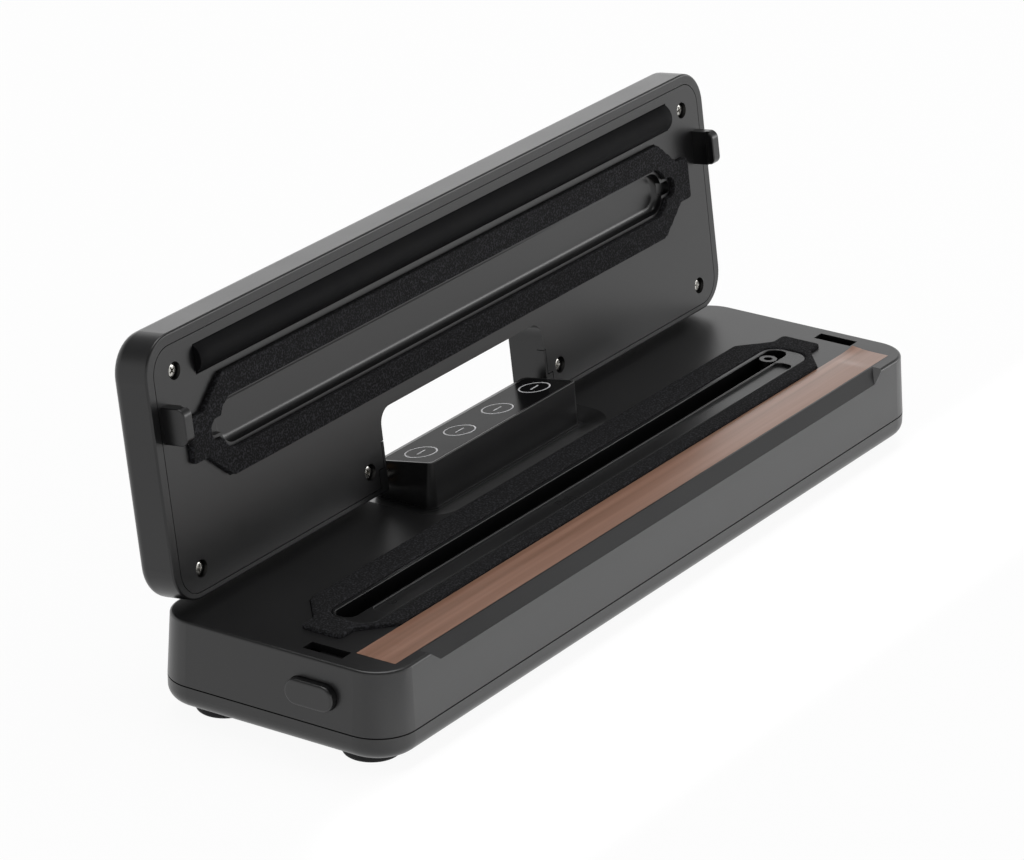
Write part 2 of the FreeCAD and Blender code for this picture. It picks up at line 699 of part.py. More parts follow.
def make_control_housing():
    """The box in the lid's notch: drafted and hollow, with a tilted top, a rebate and two hinge bosses."""
    body = new_body("control_housing")
    rise = "(seat_depth + box_rise)"
    outer = box_corners(f"-{BOX_HALF}", BOX_HALF, BOX_FRONT, BOX_BACK, "box_corner")
    case = slab(body, outer, SEAT_FLOOR, rise)
    case.setExpression("TaperAngle", ref(f"-atan(box_draft / {rise})"))
    slope = "tan(panel_tilt)"
    sketch = new_sketch(body, "side", "0")
    back_top = f"{BOX_TOP} - box_depth * {slope}"
    add_loop(sketch, [(PANEL_FRONT, BOX_TOP, None), (f"{PANEL_FRONT} + box_depth", back_top, None),
                      (f"{PANEL_FRONT} + box_depth", f"{BOX_TOP} + cut_margin", None),
                      (PANEL_FRONT, f"{BOX_TOP} + cut_margin", None)])
    extrude(body, sketch, "2 * box_length", cut=True, middle=True)

    def on_top(edge):
        tops = [number(BOX_TOP) - (spot.Y - number(PANEL_FRONT)) * number(slope) for spot in edge.Vertexes]
        return all(abs(spot.Z - top) < TOUCH for spot, top in zip(edge.Vertexes, tops))

    soften(body, "box_edge_round", on_top)
    skirt = box_corners(f"-{BOX_HALF} - box_skirt", f"{BOX_HALF} + box_skirt", f"{BOX_FRONT} - box_skirt", BOX_BACK,
                        "box_corner + box_skirt")
    slab(body, skirt, SEAT_FLOOR, "box_skirt")
    ceiling = f"({BOX_TOP} - panel_depth * {slope} - panel_thick - box_wall)"
    inside = box_corners(f"-{BOX_HALF} + box_draft + box_wall", f"{BOX_HALF} - box_draft - box_wall",
                         f"{BOX_FRONT} + box_draft + box_wall", f"{BOX_BACK} - box_draft - box_wall")
    slab(body, inside, SEAT_FLOOR, f"{ceiling} - {SEAT_FLOOR}", True)
    for sign in SIDES.values():
        sketch = new_sketch(body, "side", f"{sign} * ({BOX_HALF} - box_draft - box_wall / 2)")
        add_circle(sketch, HINGE_Y, "deck_height + hinge_rise", "pin_boss")
        extrude(body, sketch, "pin_root", back=sign > 0)
    sketch = new_tilted_sketch(body)
    add_loop(sketch, panel_corners("fit_gap / 2"))
    extrude(body, sketch, "panel_thick", cut=True)
    sketch = new_sketch(body, "side", "0")
    add_circle(sketch, HINGE_Y, "deck_height + hinge_rise", "pin_radius + press_gap")
    extrude(body, sketch, "2 * box_length", cut=True, middle=True)


def new_tilted_sketch(body):
    """A sketch on the tilted top of the control housing, starting from its front edge."""
    sketch = new_sketch(body, "top", BOX_TOP)
    sketch.AttachmentOffset = Placement(Vector(0, 0, 0), Rotation(Vector(-1, 0, 0), SIZES["panel_tilt"]))
    sketch.setExpression("AttachmentOffset.Base.y", ref(PANEL_FRONT))
    sketch.setExpression("AttachmentOffset.Rotation.Angle", ref("panel_tilt"))
    return sketch


def panel_corners(grow):
    """The glossy panel's outline on the tilted top of the control housing."""
    across = f"({BOX_HALF} - box_draft - panel_border + {grow})"
    low = f"(panel_border - {grow})"
    high = f"(panel_border + panel_depth + {grow})"
    return box_corners(f"-{across}", across, low, high, f"panel_corner + {grow}")


def make_controls():
    """The touch panel in its rebate and the circuit board under it."""
    panel = new_body("control_panel")
    sketch = new_tilted_sketch(panel)
    add_loop(sketch, panel_corners("0"))
    extrude(panel, sketch, "panel_thick", back=True)
    board = new_body("control_board")
    under = f"({BOX_TOP} - panel_depth * tan(panel_tilt) - panel_thick - box_wall)"
    across = f"({BOX_HALF} - board_inset)"
    low = f"({BOX_FRONT} + box_draft + 2 * box_wall)"
    plan = box_corners(f"-{across}", across, low, f"{low} + board_width")
    slab(board, plan, f"{under} - board_thick", "board_thick")


def make_hinge_pins():
    """Two steel pins, held in the control housing and reaching into the lid."""
    body = new_body("hinge_pins")
    for sign in SIDES.values():
        sketch = new_sketch(body, "side", f"{sign} * ({BOX_HALF} + pin_reach)")
        add_circle(sketch, HINGE_Y, "deck_height + hinge_rise", "pin_radius")
        extrude(body, sketch, "pin_reach + pin_root", back=sign > 0)


def make_hinge_bushings():
    """Two plain bushings in the lid, running on the pins."""
    body = new_lid_body("hinge_bushings")
    for sign in SIDES.values():
        sketch = new_sketch(body, "side", f"{sign} * {NOTCH_HALF}")
        add_circle(sketch, "0", "0", "bush_radius - press_gap")
        add_circle(sketch, "0", "0", "pin_radius + pin_play")
        extrude(body, sketch, "hinge_block", back=sign < 0)


def mirrored(right):
    """The left half of an outline whose right half is given."""
    return [(f"-{x}", y, radius) for x, y, radius in reversed(right)]


def notched_corners(across, front, rear, notch_edge, notch_half, radius):
    """A rounded plan with a notch in the rear edge."""
    right = [(across, front, radius), (across, rear, radius), (notch_half, rear, None)]
    right.append((notch_half, notch_edge, "notch_corner"))
    return right + mirrored(right)


def plate_edge(gap):
    """The right half of the plate's edge: beside the notch it steps round the bushing and the hinge block."""
    across = f"({HALF} - lid_rim - {gap})"
    front = f"({LID_FRONT} + lid_rim + {gap})"
    rear = f"(lid_rear_reach - lid_rear_rim - {gap})"
    corner = f"lid_corner - lid_rim - {gap}"
    round_bush = f"({NOTCH_HALF} + hinge_block + {gap})"
    beside_lip = f"({NOTCH_HALF} + block_lip + {gap})"
    bush_edge = f"(-bush_relief - {gap})"
    step = [(round_bush, rear, None), (round_bush, bush_edge, None), (beside_lip, bush_edge, None)]
    return [(across, front, corner), (across, rear, corner)] + step + [(beside_lip, f"(-block_reach - {gap})", None)]


def make_lid_shell():
    """The lid's outer shell, with the notch for the control housing and a rebate for the plate."""
    body = new_lid_body("lid_shell")
    plan = notched_corners(HALF, LID_FRONT, "lid_rear_reach", LID_NOTCH_EDGE, NOTCH_HALF, "lid_corner")
    slab(body, plan, LID_UNDER, "lid_thick")

    def outer(edge, height):
        box = edge.BoundBox
        beside = abs(box.Center.x) < number(NOTCH_HALF) + TOUCH and box.YMin > number(LID_NOTCH_EDGE) - TOUCH
        return level_at(edge, height) and not beside

    soften(body, "lid_round", lambda edge: outer(edge, LID_TOP))
    soften(body, "lid_rim_round", lambda edge: outer(edge, LID_UNDER))

    rebate = plate_edge("0")
    slab(body, rebate + mirrored(rebate), f"{LID_UNDER} - cut_margin", "plate_thick + cut_margin", True)
    block_half = f"({NOTCH_HALF} + hinge_block)"
    inset = "(lid_rim + lid_ledge)"
    hollow = notched_corners(f"({HALF} - {inset})", f"({LID_FRONT} + {inset})", f"(lid_rear_reach - {inset})",
                             f"({LID_NOTCH_EDGE} - hinge_block)", block_half, f"lid_corner - {inset}")
    slab(body, hollow, f"{PLATE_BACK} - cut_margin", "lid_thick - plate_thick - lid_top_wall + cut_margin", True)
    columns(body, lid_screw_places(), "lid_boss", PLATE_BACK, "lid_thick - plate_thick - lid_top_wall / 2")
    columns(body, lid_screw_places(), "screw_radius + screw_play", f"{PLATE_BACK} - cut_margin",
            "screw_bite + cut_margin", True)
    sketch = new_sketch(body, "side", "0")
    add_circle(sketch, "0", "0", "bush_radius")
    extrude(body, sketch, f"2 * {block_half} + 2 * fit_gap", cut=True, middle=True)


def make_lid_plate():
    """The inner plate with its suction channel, foam seat, bar groove and screw holes."""
    body = new_lid_body("lid_plate")
    right = plate_edge("plate_gap")
    right += [(NOTCH_HALF, "(-block_reach - plate_gap)", None), (NOTCH_HALF, LID_NOTCH_EDGE, "notch_corner")]
    slab(body, right + mirrored(right), LID_UNDER, "plate_thick")
    bulge = next(lid_channel_plans("lid_channel_skin"))
    slab(body, bulge, f"{PLATE_BACK} - plate_thick / 2", "lid_channel_depth + lid_channel_skin - plate_thick / 2")

    # The foam's seat, the rim left standing in it, and the channel with its nubs inside the rim.
    below = f"{LID_UNDER} - cut_margin"
    slab(body, foam_corners(LID_FOAM_MIDDLE, "fit_gap"), below, "lid_foam_seat + cut_margin", True)
    for plan in lid_channel_plans("lid_channel_rim"):
        slab(body, plan, LID_UNDER, "lid_foam_seat + plate_thick / 4")
    channel, nub = lid_channel_plans("0")
    slab(body, channel, below, "lid_channel_depth + cut_margin", True)
    soften(body, "lid_channel_round", lambda edge: level_at(edge, f"{LID_UNDER} + lid_channel_depth"))
    slab(body, nub, below, "nub_depth + cut_margin", True)
    bar = box_corners(f"-{BAR_LONG} - fit_gap", f"{BAR_LONG} + fit_gap", f"{BAR_Y} - bar_width / 2 - fit_gap",
                      f"{BAR_Y} + bar_width / 2 + fit_gap")
    slab(body, bar, below, "bar_seat + cut_margin", True)
    columns(body, lid_screw_places(), "head_radius + 2 * fit_gap", below, "lid_head_sink + cut_margin", True)
    columns(body, lid_screw_places(), "screw_radius + screw_play", below, "plate_thick + 2 * cut_margin", True)


def make_lid_gasket():
    """The upper foam ring round the lid's channel."""
    body = new_lid_body("lid_gasket")
    low = f"{LID_UNDER} - lid_foam_rise"
    thick = "lid_foam_rise + lid_foam_seat"
    slab(body, foam_corners(LID_FOAM_MIDDLE, "0"), low, thick)
    for plan in lid_channel_plans("lid_channel_rim + fit_gap"):
        slab(body, plan, f"{low} - cut_margin", f"{thick} + 2 * cut_margin", True)


def make_pressure_bar():
    """The silicone bar that presses the bag on the heater: a flat root and a round face."""
    body = new_lid_body("pressure_bar")
    bulge = "(closed_gap - tape_thick - bar_gap)"
    near = f"{BAR_Y} - bar_width / 2"
    far = f"{BAR_Y} + bar_width / 2"
    root = f"{LID_UNDER} + bar_seat"
    radius = f"(bar_width * bar_width / 8 / {bulge} + {bulge} / 2)"
    sketch = new_sketch(body, "side", "0")
    places = [(near, LID_UNDER), (near, root), (far, root), (far, LID_UNDER)]
    spots = [Vector(number(y), number(z), 0) for y, z in places]
    lines = [sketch.addGeometry(Part.LineSegment(a, b)) for a, b in zip(spots, spots[1:])]
    pin(sketch, lines[0], 1, *places[0])
    for line, place in zip(lines, places[1:]):
        pin(sketch, line, 2, *place)
    for line, follower in zip(lines, lines[1:]):
        sketch.addConstraint(Sketcher.Constraint("Coincident", line, 2, follower, 1))
    crown = Vector(number(BAR_Y), number(f"{LID_UNDER} - {bulge}"), 0)
    face = sketch.addGeometry(Part.Arc(spots[0], crown, spots[3]))
    sketch.addConstraint(Sketcher.Constraint("Coincident", face, 1, lines[0], 1))
    sketch.addConstraint(Sketcher.Constraint("Coincident", face, 2, lines[2], 2))
    bind(sketch, Sketcher.Constraint("Radius", face, number(radius)), radius)
    extrude(body, sketch, f"2 * {BAR_LONG}", middle=True)


def make_latch(side):
    """One latch: the lid's hook, the catch that holds it, the release button and its spring."""
    sign = SIDES[side]
    inward = f"{-sign}"

    def along(distance):
        return f"({sign} * {LATCH_X} + {inward} * ({distance}))"

    def span(body, first, last, low, high, y_middle, width):
        """A block between two places along the latch, given in order from the lid's hook inward."""
        edges = sorted([along(first), along(last)], key=number)
        sketch = new_sketch(body, "front", y_middle)
        add_loop(sketch, box_corners(edges[0], edges[1], low, high))
        return sketch, extrude(body, sketch, width, middle=True)

    hook = new_lid_body(f"latch_hook_{side}")
    hook_y = f"{HINGE_Y} - {LATCH_Y}"
    tip = f"{LID_UNDER} - hook_drop"
    span(hook, "-hook_width / 2", "hook_width / 2", tip, LID_UNDER, hook_y, "hook_length")
    soften(hook, "hook_corner", lambda edge: level_at(edge, tip) and edge.BoundBox.YLength < TOUCH)
    soften(hook, "hook_round", lambda edge: edge.BoundBox.XLength < TOUCH and not level_at(edge, LID_UNDER))
    notch_low = f"{tip} + barb_height"
    notch_high = "-hinge_rise - deck_thick - fit_gap / 2"
    edges = sorted([along("hook_width / 2 - barb_depth"), along("hook_width")], key=number)
    sketch = new_sketch(hook, "front", hook_y)
    add_loop(sketch, box_corners(edges[0], edges[1], notch_low, notch_high))
    extrude(hook, sketch, "2 * hook_length", cut=True, middle=True)

    catch = new_body(f"latch_catch_{side}")
    tip_depth = "(closed_gap - hook_drop)"
    plate_top = f"deck_height + {tip_depth} - 2 * fit_gap"
    nose_top = "deck_height - deck_thick - nose_play"
    upright = "hook_width / 2 + upright_gap"
    wall_face = "-(latch_inset - wall - button_flange)"
    beyond, below = f"{upright} + upright_thick", f"{plate_top} - catch_thick"
    span(catch, wall_face, beyond, below, plate_top, f"-{LATCH_Y}", "catch_width")
    span(catch, upright, beyond, below, nose_top, f"-{LATCH_Y}", "catch_width")
    span(catch, "hook_width / 2 - nose_bite", f"{upright} + upright_thick / 2", f"{nose_top} - nose_height", nose_top,
         f"-{LATCH_Y}", "catch_width")

    button = new_body(f"release_button_{side}")
    sketch = new_sketch(button, "side", f"{sign} * ({HALF} - wall)")
    add_loop(sketch, button_corners("0"))
    draft = "draft_out * button_drop / (deck_height - parting_height)"
    reach = f"wall + {draft} + button_stand"
    extrude(button, sketch, reach, back=sign < 0)
    outer = f"{sign} * ({HALF} + {draft} + button_stand)"
    soften(button, "button_round", lambda edge: abs(edge.BoundBox.Center.x - number(outer)) < TOUCH)
    sketch = new_sketch(button, "side", f"{sign} * ({HALF} - wall)")
    add_loop(sketch, button_corners("button_lap"))
    extrude(button, sketch, "button_flange", back=sign > 0)

    spring = new_body(f"latch_spring_{side}")
    rib_face = f"{upright} + upright_thick + spring_length"
    sketch = new_sketch(spring, "side", along(rib_face))
    height = f"{CAVITY_TOP} - spring_radius - fit_gap"
    add_circle(sketch, LATCH_Y, height, "spring_radius")
    add_circle(sketch, LATCH_Y, height, "spring_radius - spring_wall")
    extrude(spring, sketch, "spring_length", back=sign < 0)


def make_pump():
    """The pump head on the bottom cover, with the tube's port, and its motor."""
    head = new_body("pump_head")
    left = f"({NOZZLE_X} - pump_length / 2 - spigot_radius)"
    plan = box_corners(left, f"{left} + pump_length", PUMP_FRONT, f"{PUMP_FRONT} + pump_depth", "wall")
    slab(head, plan, COVER_FLOOR, "pump_height")
    sketch = new_sketch(head, "front", f"-{PUMP_FRONT} - wall")
    add_circle(sketch, NOZZLE_X, PORT_Z, "spigot_radius")
    extrude(head, sketch, "port_length + wall")
    motor = new_body("pump_motor")
    sketch = new_sketch(motor, "side", left)
    add_circle(sketch, f"{PUMP_FRONT} + pump_depth / 2", f"{COVER_FLOOR} + motor_radius + motor_lift", "motor_radius")
    extrude(motor, sketch, "motor_length", back=True)


def make_electrics():
    """The power board on its posts, with its transformer and capacitor, and the cord's gland."""
    board = new_body("power_board")
    low = f"({COVER_FLOOR} + post_height)"
    plan = box_corners(f"{BOARD_MIDDLE} - board_length / 2", f"{BOARD_MIDDLE} + board_length / 2", BOARD_FRONT,
                       f"{BOARD_FRONT} + board_depth")
    slab(board, plan, low, "board_thick")
    transformer = new_body("power_transformer")
    middle = f"({BOARD_FRONT} + board_depth / 2)"
    left = f"({BOARD_MIDDLE} - board_length / 2 + 2 * post_radius)"
    plan = box_corners(left, f"{left} + transformer_length", f"{middle} - transformer_depth / 2",
                       f"{middle} + transformer_depth / 2", "wall / 2")
    slab(transformer, plan, f"{low} + board_thick", "transformer_height")
    capacitor = new_body("filter_capacitor")
    columns(capacitor, [(f"{BOARD_MIDDLE} + board_length / 4", middle)], "capacitor_radius", f"{low} + board_thick",
            "capacitor_height")
    gland = new_body("cord_gland")
    slope = "(draft_out / (deck_height - parting_height))"
    face = f"({REAR} + {slope} * (gland_drop + gland_radius + gland_flange) + fit_gap / 2)"
    through = f"({face} - {REAR} + wall)"
    stages = ((f"{face} + gland_flange", "gland_flange", "gland_radius + gland_flange", False),
              (f"{face} + gland_flange / 2", f"gland_flange / 2 + {through}", "gland_radius", False),
              (f"{face} + 2 * gland_flange", f"3 * gland_flange + {through}", "gland_bore", True))
    for level, length, radius, cut in stages:
        sketch = new_sketch(gland, "front", f"-({level})")
        add_circle(sketch, GLAND_X, "deck_height - gland_drop", radius)
        extrude(gland, sketch, length, cut=cut, back=cut)


make_base_housing()
make_bottom_cover()
make_feet()
make_screws(new_body("bottom_screws"), boss_places(), "cover_height", "case_head_sink", "screw_bite")
make_vacuum_tray()
make_air_nozzle()
make_air_tube()
make_base_gasket()
make_heater()
make_control_housing()
make_controls()
make_hinge_pins()
make_pump()
make_electrics()
make_lid_shell()
make_lid_plate()
make_lid_gasket()
make_pressure_bar()
make_hinge_bushings()
make_screws(new_lid_body("lid_screws"), lid_screw_places(), LID_UNDER, "lid_head_sink", "screw_bite - plate_thick")
for latch_side in SIDES:
    make_latch(latch_side)
doc.recompute()

failed = [item.Name for item in doc.Objects if "Invalid" in item.State or "Error" in item.State]
failed += [part.Label for part in parts if part.Shape.isNull() or not part.Shape.isValid()]
if failed:
    raise RuntimeError("these did not build: " + ", ".join(failed))
os.makedirs("parts", exist_ok=True)
for part in parts:
    part.Shape.exportStep(f"parts/{part.Label}.step")
    box = part.Shape.BoundBox
    print(f"{part.Label}: {len(part.Shape.Solids)} solids, {part.Shape.Volume:.0f} mm3,",
          f"x {box.XMin:.1f}..{box.XMax:.1f} y {box.YMin:.1f}..{box.YMax:.1f} z {box.ZMin:.1f}..{box.ZMax:.1f}")
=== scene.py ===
# %% [markdown]
# # A countertop vacuum sealer
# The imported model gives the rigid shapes: the case, the lid, the tray and the latches. This lesson
# lights them like a product photograph, gives each one a finish that suits what it is moulded or
# cut from, and adds the pieces that a solid model draws too plainly: the foam rings, the tape, the
# silicone bar, the cross-head screws and the printed marks on the touch panel.

# %% Load the frame
import math

import bmesh
import bpy
from mathutils import Matrix, Vector, noise


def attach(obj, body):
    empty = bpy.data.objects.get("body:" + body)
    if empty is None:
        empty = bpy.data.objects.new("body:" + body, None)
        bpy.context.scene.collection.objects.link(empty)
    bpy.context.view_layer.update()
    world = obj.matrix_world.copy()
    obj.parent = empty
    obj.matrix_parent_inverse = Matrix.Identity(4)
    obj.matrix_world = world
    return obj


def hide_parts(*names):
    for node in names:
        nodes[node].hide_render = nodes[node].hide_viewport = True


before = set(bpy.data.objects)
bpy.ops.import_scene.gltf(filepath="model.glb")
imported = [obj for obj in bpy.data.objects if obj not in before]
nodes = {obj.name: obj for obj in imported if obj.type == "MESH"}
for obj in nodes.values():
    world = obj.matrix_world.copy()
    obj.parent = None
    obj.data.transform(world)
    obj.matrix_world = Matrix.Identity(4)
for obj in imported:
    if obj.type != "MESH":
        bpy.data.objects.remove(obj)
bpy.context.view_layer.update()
MM = 0.001

# %% [markdown]
# ## Camera
# The photograph was taken from the left and a little above with a long lens, so that the long
# edges stay nearly parallel. Its direction is an azimuth from the +Y axis and a tilt down.

# %% Camera
CAMERA_PLACE = Vector((-1.39466, -0.90648, 0.7405))
CAMERA_AZIMUTH = math.radians(56.62)
CAMERA_TILT = math.radians(22.466)
CAMERA_LENS = 172.74
SENSOR_WIDTH = 36.0

looking = Vector((
    math.sin(CAMERA_AZIMUTH) * math.cos(CAMERA_TILT),
    math.cos(CAMERA_AZIMUTH) * math.cos(CAMERA_TILT),
    -math.sin(CAMERA_TILT),
))
scene = bpy.context.scene
camera = bpy.data.objects.new("camera", bpy.data.cameras.new("camera"))
camera.data.lens = CAMERA_LENS
camera.data.sensor_width = SENSOR_WIDTH
camera.data.sensor_fit = "HORIZONTAL"
camera.location = CAMERA_PLACE
camera.rotation_mode = "QUATERNION"
camera.rotation_quaternion = looking.to_track_quat("-Z", "Y")
scene.collection.objects.link(camera)
scene.camera = camera
scene.view_settings.view_transform = "Standard"

# %% [markdown]
# ## Helpers for materials
# Colours are written as the hex values of a colour picker and turned to linear light once, here.
# One function adds a node, sets its values and links its inputs, so that a material reads as a list.


# %% Colour and node helpers
def linear(hex_colour, alpha=1.0):
    """An sRGB hex colour as linear values."""
    parts = [int(hex_colour[i:i + 2], 16) / 255 for i in (1, 3, 5)]
    return [c / 12.92 if c <= 0.04045 else ((c + 0.055) / 1.055) ** 2.4 for c in parts] + [alpha]


def add_node(tree, kind, settings=None, values=None, links=None):
    """Add a node: settings are its attributes, values and links go to its inputs."""
    made = tree.nodes.new(kind)
    for name, value in (settings or {}).items():
        setattr(made, name, value)
    for name, value in (values or {}).items():
        made.inputs[name].default_value = value
    for name, source in (links or {}).items():
        tree.links.new(source, made.inputs[name])
    return made


def new_material(name):
    """A material with its shader and Object coordinates, as (material, tree, shader, coordinates)."""
    material = bpy.data.materials.new(name)
    material.use_nodes = True
    tree = material.node_tree
    shader = tree.nodes["Principled BSDF"]
    coordinates = add_node(tree, "ShaderNodeTexCoord").outputs["Object"]
    return material, tree, shader, coordinates


def per_metre(size_mm):
    """The scale of a pattern whose marks are this far apart."""
    return 1 / (size_mm * MM)


def ramp(tree, source, stops):
    """A colour ramp from (place, hex colour) stops."""
    made = add_node(tree, "ShaderNodeValToRGB", links={"Fac": source})
    while len(made.color_ramp.elements) < len(stops):
        made.color_ramp.elements.new(0.5)
    for element, (place, colour) in zip(made.color_ramp.elements, stops):
        element.position = place
        element.color = linear(colour)
    return made.outputs["Color"]


print("a mid grey of #808080 is", round(linear("#808080")[0], 3), "in linear light")

# %% [markdown]
# ## Moulded ABS
# The case and the lid are black ABS. A mould that was etched a little leaves a fine grain: it
# breaks up the highlights and is felt more than seen. Real grain is about 0.1 mm, which is too
# fine for the picture, so it is drawn at several times that. A broad, weak mottle stands for the
# way that the melt flowed and for handling marks in the sheen.

# %% ABS finishes
MELT_MOTTLE_MM = 38


def moulded_abs(name, dark, pale, roughness, grain_mm, grain_height_mm, gloss=1.5):
    """Black moulded plastic: a mottled colour, an uneven sheen and a fine grain."""
    material, tree, shader, place = new_material(name)
    mottle = add_node(tree, "ShaderNodeTexNoise", links={"Vector": place},
                      values={"Scale": per_metre(MELT_MOTTLE_MM), "Detail": 5.0})
    shade = ramp(tree, mottle.outputs["Fac"], [(0.3, dark), (0.7, pale)])
    tree.links.new(shade, shader.inputs["Base Color"])
    sheen = add_node(tree, "ShaderNodeMapRange", links={"Value": mottle.outputs["Fac"]},
                     values={"To Min": roughness - 0.04, "To Max": roughness + 0.05})
    tree.links.new(sheen.outputs["Result"], shader.inputs["Roughness"])
    grain = add_node(tree, "ShaderNodeTexNoise", links={"Vector": place},
                     values={"Scale": per_metre(grain_mm), "Detail": 2.0})
    bump = add_node(tree, "ShaderNodeBump", links={"Height": grain.outputs["Fac"]},
                    values={"Strength": 0.35, "Distance": grain_height_mm * MM})
    tree.links.new(bump.outputs["Normal"], shader.inputs["Normal"])
    shader.inputs["IOR"].default_value = gloss
    return material


case_abs = moulded_abs("etched_black_abs", "#09090a", "#0d0d0e", 0.32, 0.9, 0.02, gloss=1.57)
lid_abs = moulded_abs("satin_black_abs", "#0b0b0c", "#0f0f10", 0.3, 0.7, 0.015)
tray_abs = moulded_abs("smooth_black_abs", "#09090a", "#0c0c0d", 0.28, 0.8, 0.01)
print("ABS finishes made")

# %% [markdown]
# ## Foam, silicone and rubber
# The rings are closed-cell foam: matte, nearly black, with pores that catch a little light at
# their rims. A Voronoi pattern gives the pores, drawn at about twice their real size of 0.3 mm so
# that they show, and their colour is painted: painted shade in the pits, a painted highlight on
# the rims. Silicone and rubber are smoother, with a dry bloom.

# %% Soft finishes
PORE_MM = 0.7
PORE_DEPTH_MM = 0.12
BLOOM_MM = 9
SKIN_MM = 1.2
SKIN_HEIGHT_MM = 0.03


def pored_foam(name, pore_mm):
    """Closed-cell foam: pores as small dents, with painted shade in them and painted highlights on their
    rims.
    """
    material, tree, shader, place = new_material(name)
    pores = add_node(tree, "ShaderNodeTexVoronoi", links={"Vector": place},
                     values={"Scale": per_metre(pore_mm), "Randomness": 1.0})
    # Painted shade and painted highlight: the colour darkens towards each pore's middle and pales at its
    # rim.
    skin = ramp(tree, pores.outputs["Distance"], [(0.15, "#0a0a0b"), (0.5, "#131314"), (0.8, "#2c2c2f")])
    tree.links.new(skin, shader.inputs["Base Color"])
    bump = add_node(tree, "ShaderNodeBump", links={"Height": pores.outputs["Distance"]},
                    values={"Strength": 0.8, "Distance": PORE_DEPTH_MM * MM})
    tree.links.new(bump.outputs["Normal"], shader.inputs["Normal"])
    shader.inputs["Roughness"].default_value = 0.9
    shader.inputs["Specular IOR Level"].default_value = 0.15
    return material


def matte_rubber(name, dark, pale, roughness, shine=0.3):
    """Rubber or silicone: a soft cloudy bloom over a nearly black body."""
    material, tree, shader, place = new_material(name)
    bloom = add_node(tree, "ShaderNodeTexNoise", links={"Vector": place},
                     values={"Scale": per_metre(BLOOM_MM), "Detail": 6.0})
    shade = ramp(tree, bloom.outputs["Fac"], [(0.35, dark), (0.7, pale)])
    tree.links.new(shade, shader.inputs["Base Color"])
    skin = add_node(tree, "ShaderNodeTexNoise", links={"Vector": place},
                    values={"Scale": per_metre(SKIN_MM), "Detail": 2.0})
    bump = add_node(tree, "ShaderNodeBump", links={"Height": skin.outputs["Fac"]},
                    values={"Strength": 0.25, "Distance": SKIN_HEIGHT_MM * MM})
    tree.links.new(bump.outputs["Normal"], shader.inputs["Normal"])
    shader.inputs["Roughness"].default_value = roughness
    shader.inputs["Specular IOR Level"].default_value = shine
    shader.inputs["IOR"].default_value = 1.43
    return material


foam = pored_foam("closed_cell_foam", PORE_MM)
silicone = matte_rubber("black_silicone", "#08080a", "#0c0c0d", 0.65, shine=0.1)
foot_rubber = matte_rubber("moulded_rubber", "#141415", "#1e1e1f", 0.7)
print("soft finishes made")

# %% [markdown]
# ## Tape, panel and metal
# The tape is glass cloth soaked in a slippery brown resin. The resin is wiped on lengthwise, so its
# streaks run along the tape, and it lies as a thin clear coat that turns pale where it mirrors the
# white sweep. The weave is drawn at twice its real spacing, so that it breaks the sheen a little.
# The panel is polished acrylic, painted black behind. The screws are zinc-plated steel, and the
# hidden metal parts share plain versions of the same finish.

# %% Tape finish
STREAK_MM = 2.6
STREAK_STRETCH = (0.02, 1.0, 1.0)
WEAVE_MM = 0.8
WEAVE_HEIGHT_MM = 0.02


def streaked_tape(name):
    """Brown resin on glass cloth: streaks along the tape over a fine weave."""
    material, tree, shader, place = new_material(name)
    along = add_node(tree, "ShaderNodeMapping", links={"Vector": place}, values={"Scale": STREAK_STRETCH})
    streaks = add_node(tree, "ShaderNodeTexNoise", links={"Vector": along.outputs["Vector"]},
                       values={"Scale": per_metre(STREAK_MM), "Detail": 3.0, "Roughness": 0.5})
    browns = [(0.25, "#7b563f"), (0.5, "#8c644f"), (0.75, "#9b735e")]
    tree.links.new(ramp(tree, streaks.outputs["Fac"], browns), shader.inputs["Base Color"])
    weave = add_node(tree, "ShaderNodeTexChecker", links={"Vector": place},
                     values={"Scale": per_metre(WEAVE_MM)})
    bump = add_node(tree, "ShaderNodeBump", links={"Height": weave.outputs["Fac"]},
                    values={"Strength": 0.15, "Distance": WEAVE_HEIGHT_MM * MM})
    tree.links.new(bump.outputs["Normal"], shader.inputs["Normal"])
    shader.inputs["Roughness"].default_value = 0.4
    shader.inputs["IOR"].default_value = 1.55
    shader.inputs["Coat Weight"].default_value = 0.6
    shader.inputs["Coat Roughness"].default_value = 0.3
    return material


tape_cloth = streaked_tape("brown_coated_glass_cloth")
print("tape finish made")

# %% Panel finish
WIPE_MARK_MM = 14


def polished_acrylic(name, colour):
    """Acrylic: a clean gloss with faint wipe marks in its sheen."""
    material, tree, shader, place = new_material(name)
    wipe = add_node(tree, "ShaderNodeTexNoise", links={"Vector": place},
                    values={"Scale": per_metre(WIPE_MARK_MM), "Detail": 6.0})
    sheen = add_node(tree, "ShaderNodeMapRange", links={"Value": wipe.outputs["Fac"]},
                     values={"To Min": 0.12, "To Max": 0.24})
    tree.links.new(sheen.outputs["Result"], shader.inputs["Roughness"])
    shader.inputs["Base Color"].default_value = linear(colour)
    shader.inputs["Specular IOR Level"].default_value = 0.02
    shader.inputs["IOR"].default_value = 1.49
    return material


panel_acrylic = polished_acrylic("polished_black_acrylic", "#0a0a0b")
component_resin = polished_acrylic("glossy_component_resin", "#1b1b1d")
print("panel and component finishes made")


# %% Metal and hidden finishes
def plated_metal(name, colour, roughness, grain_mm):
    """Plated or drawn metal: a cloudy sheen."""
    material, tree, shader, place = new_material(name)
    cloud = add_node(tree, "ShaderNodeTexNoise", links={"Vector": place},
                     values={"Scale": per_metre(grain_mm), "Detail": 4.0})
    sheen = add_node(tree, "ShaderNodeMapRange", links={"Value": cloud.outputs["Fac"]},
                     values={"To Min": roughness - 0.08, "To Max": roughness + 0.1})
    tree.links.new(sheen.outputs["Result"], shader.inputs["Roughness"])
    shader.inputs["Base Color"].default_value = linear(colour)
    shader.inputs["Metallic"].default_value = 1.0
    return material


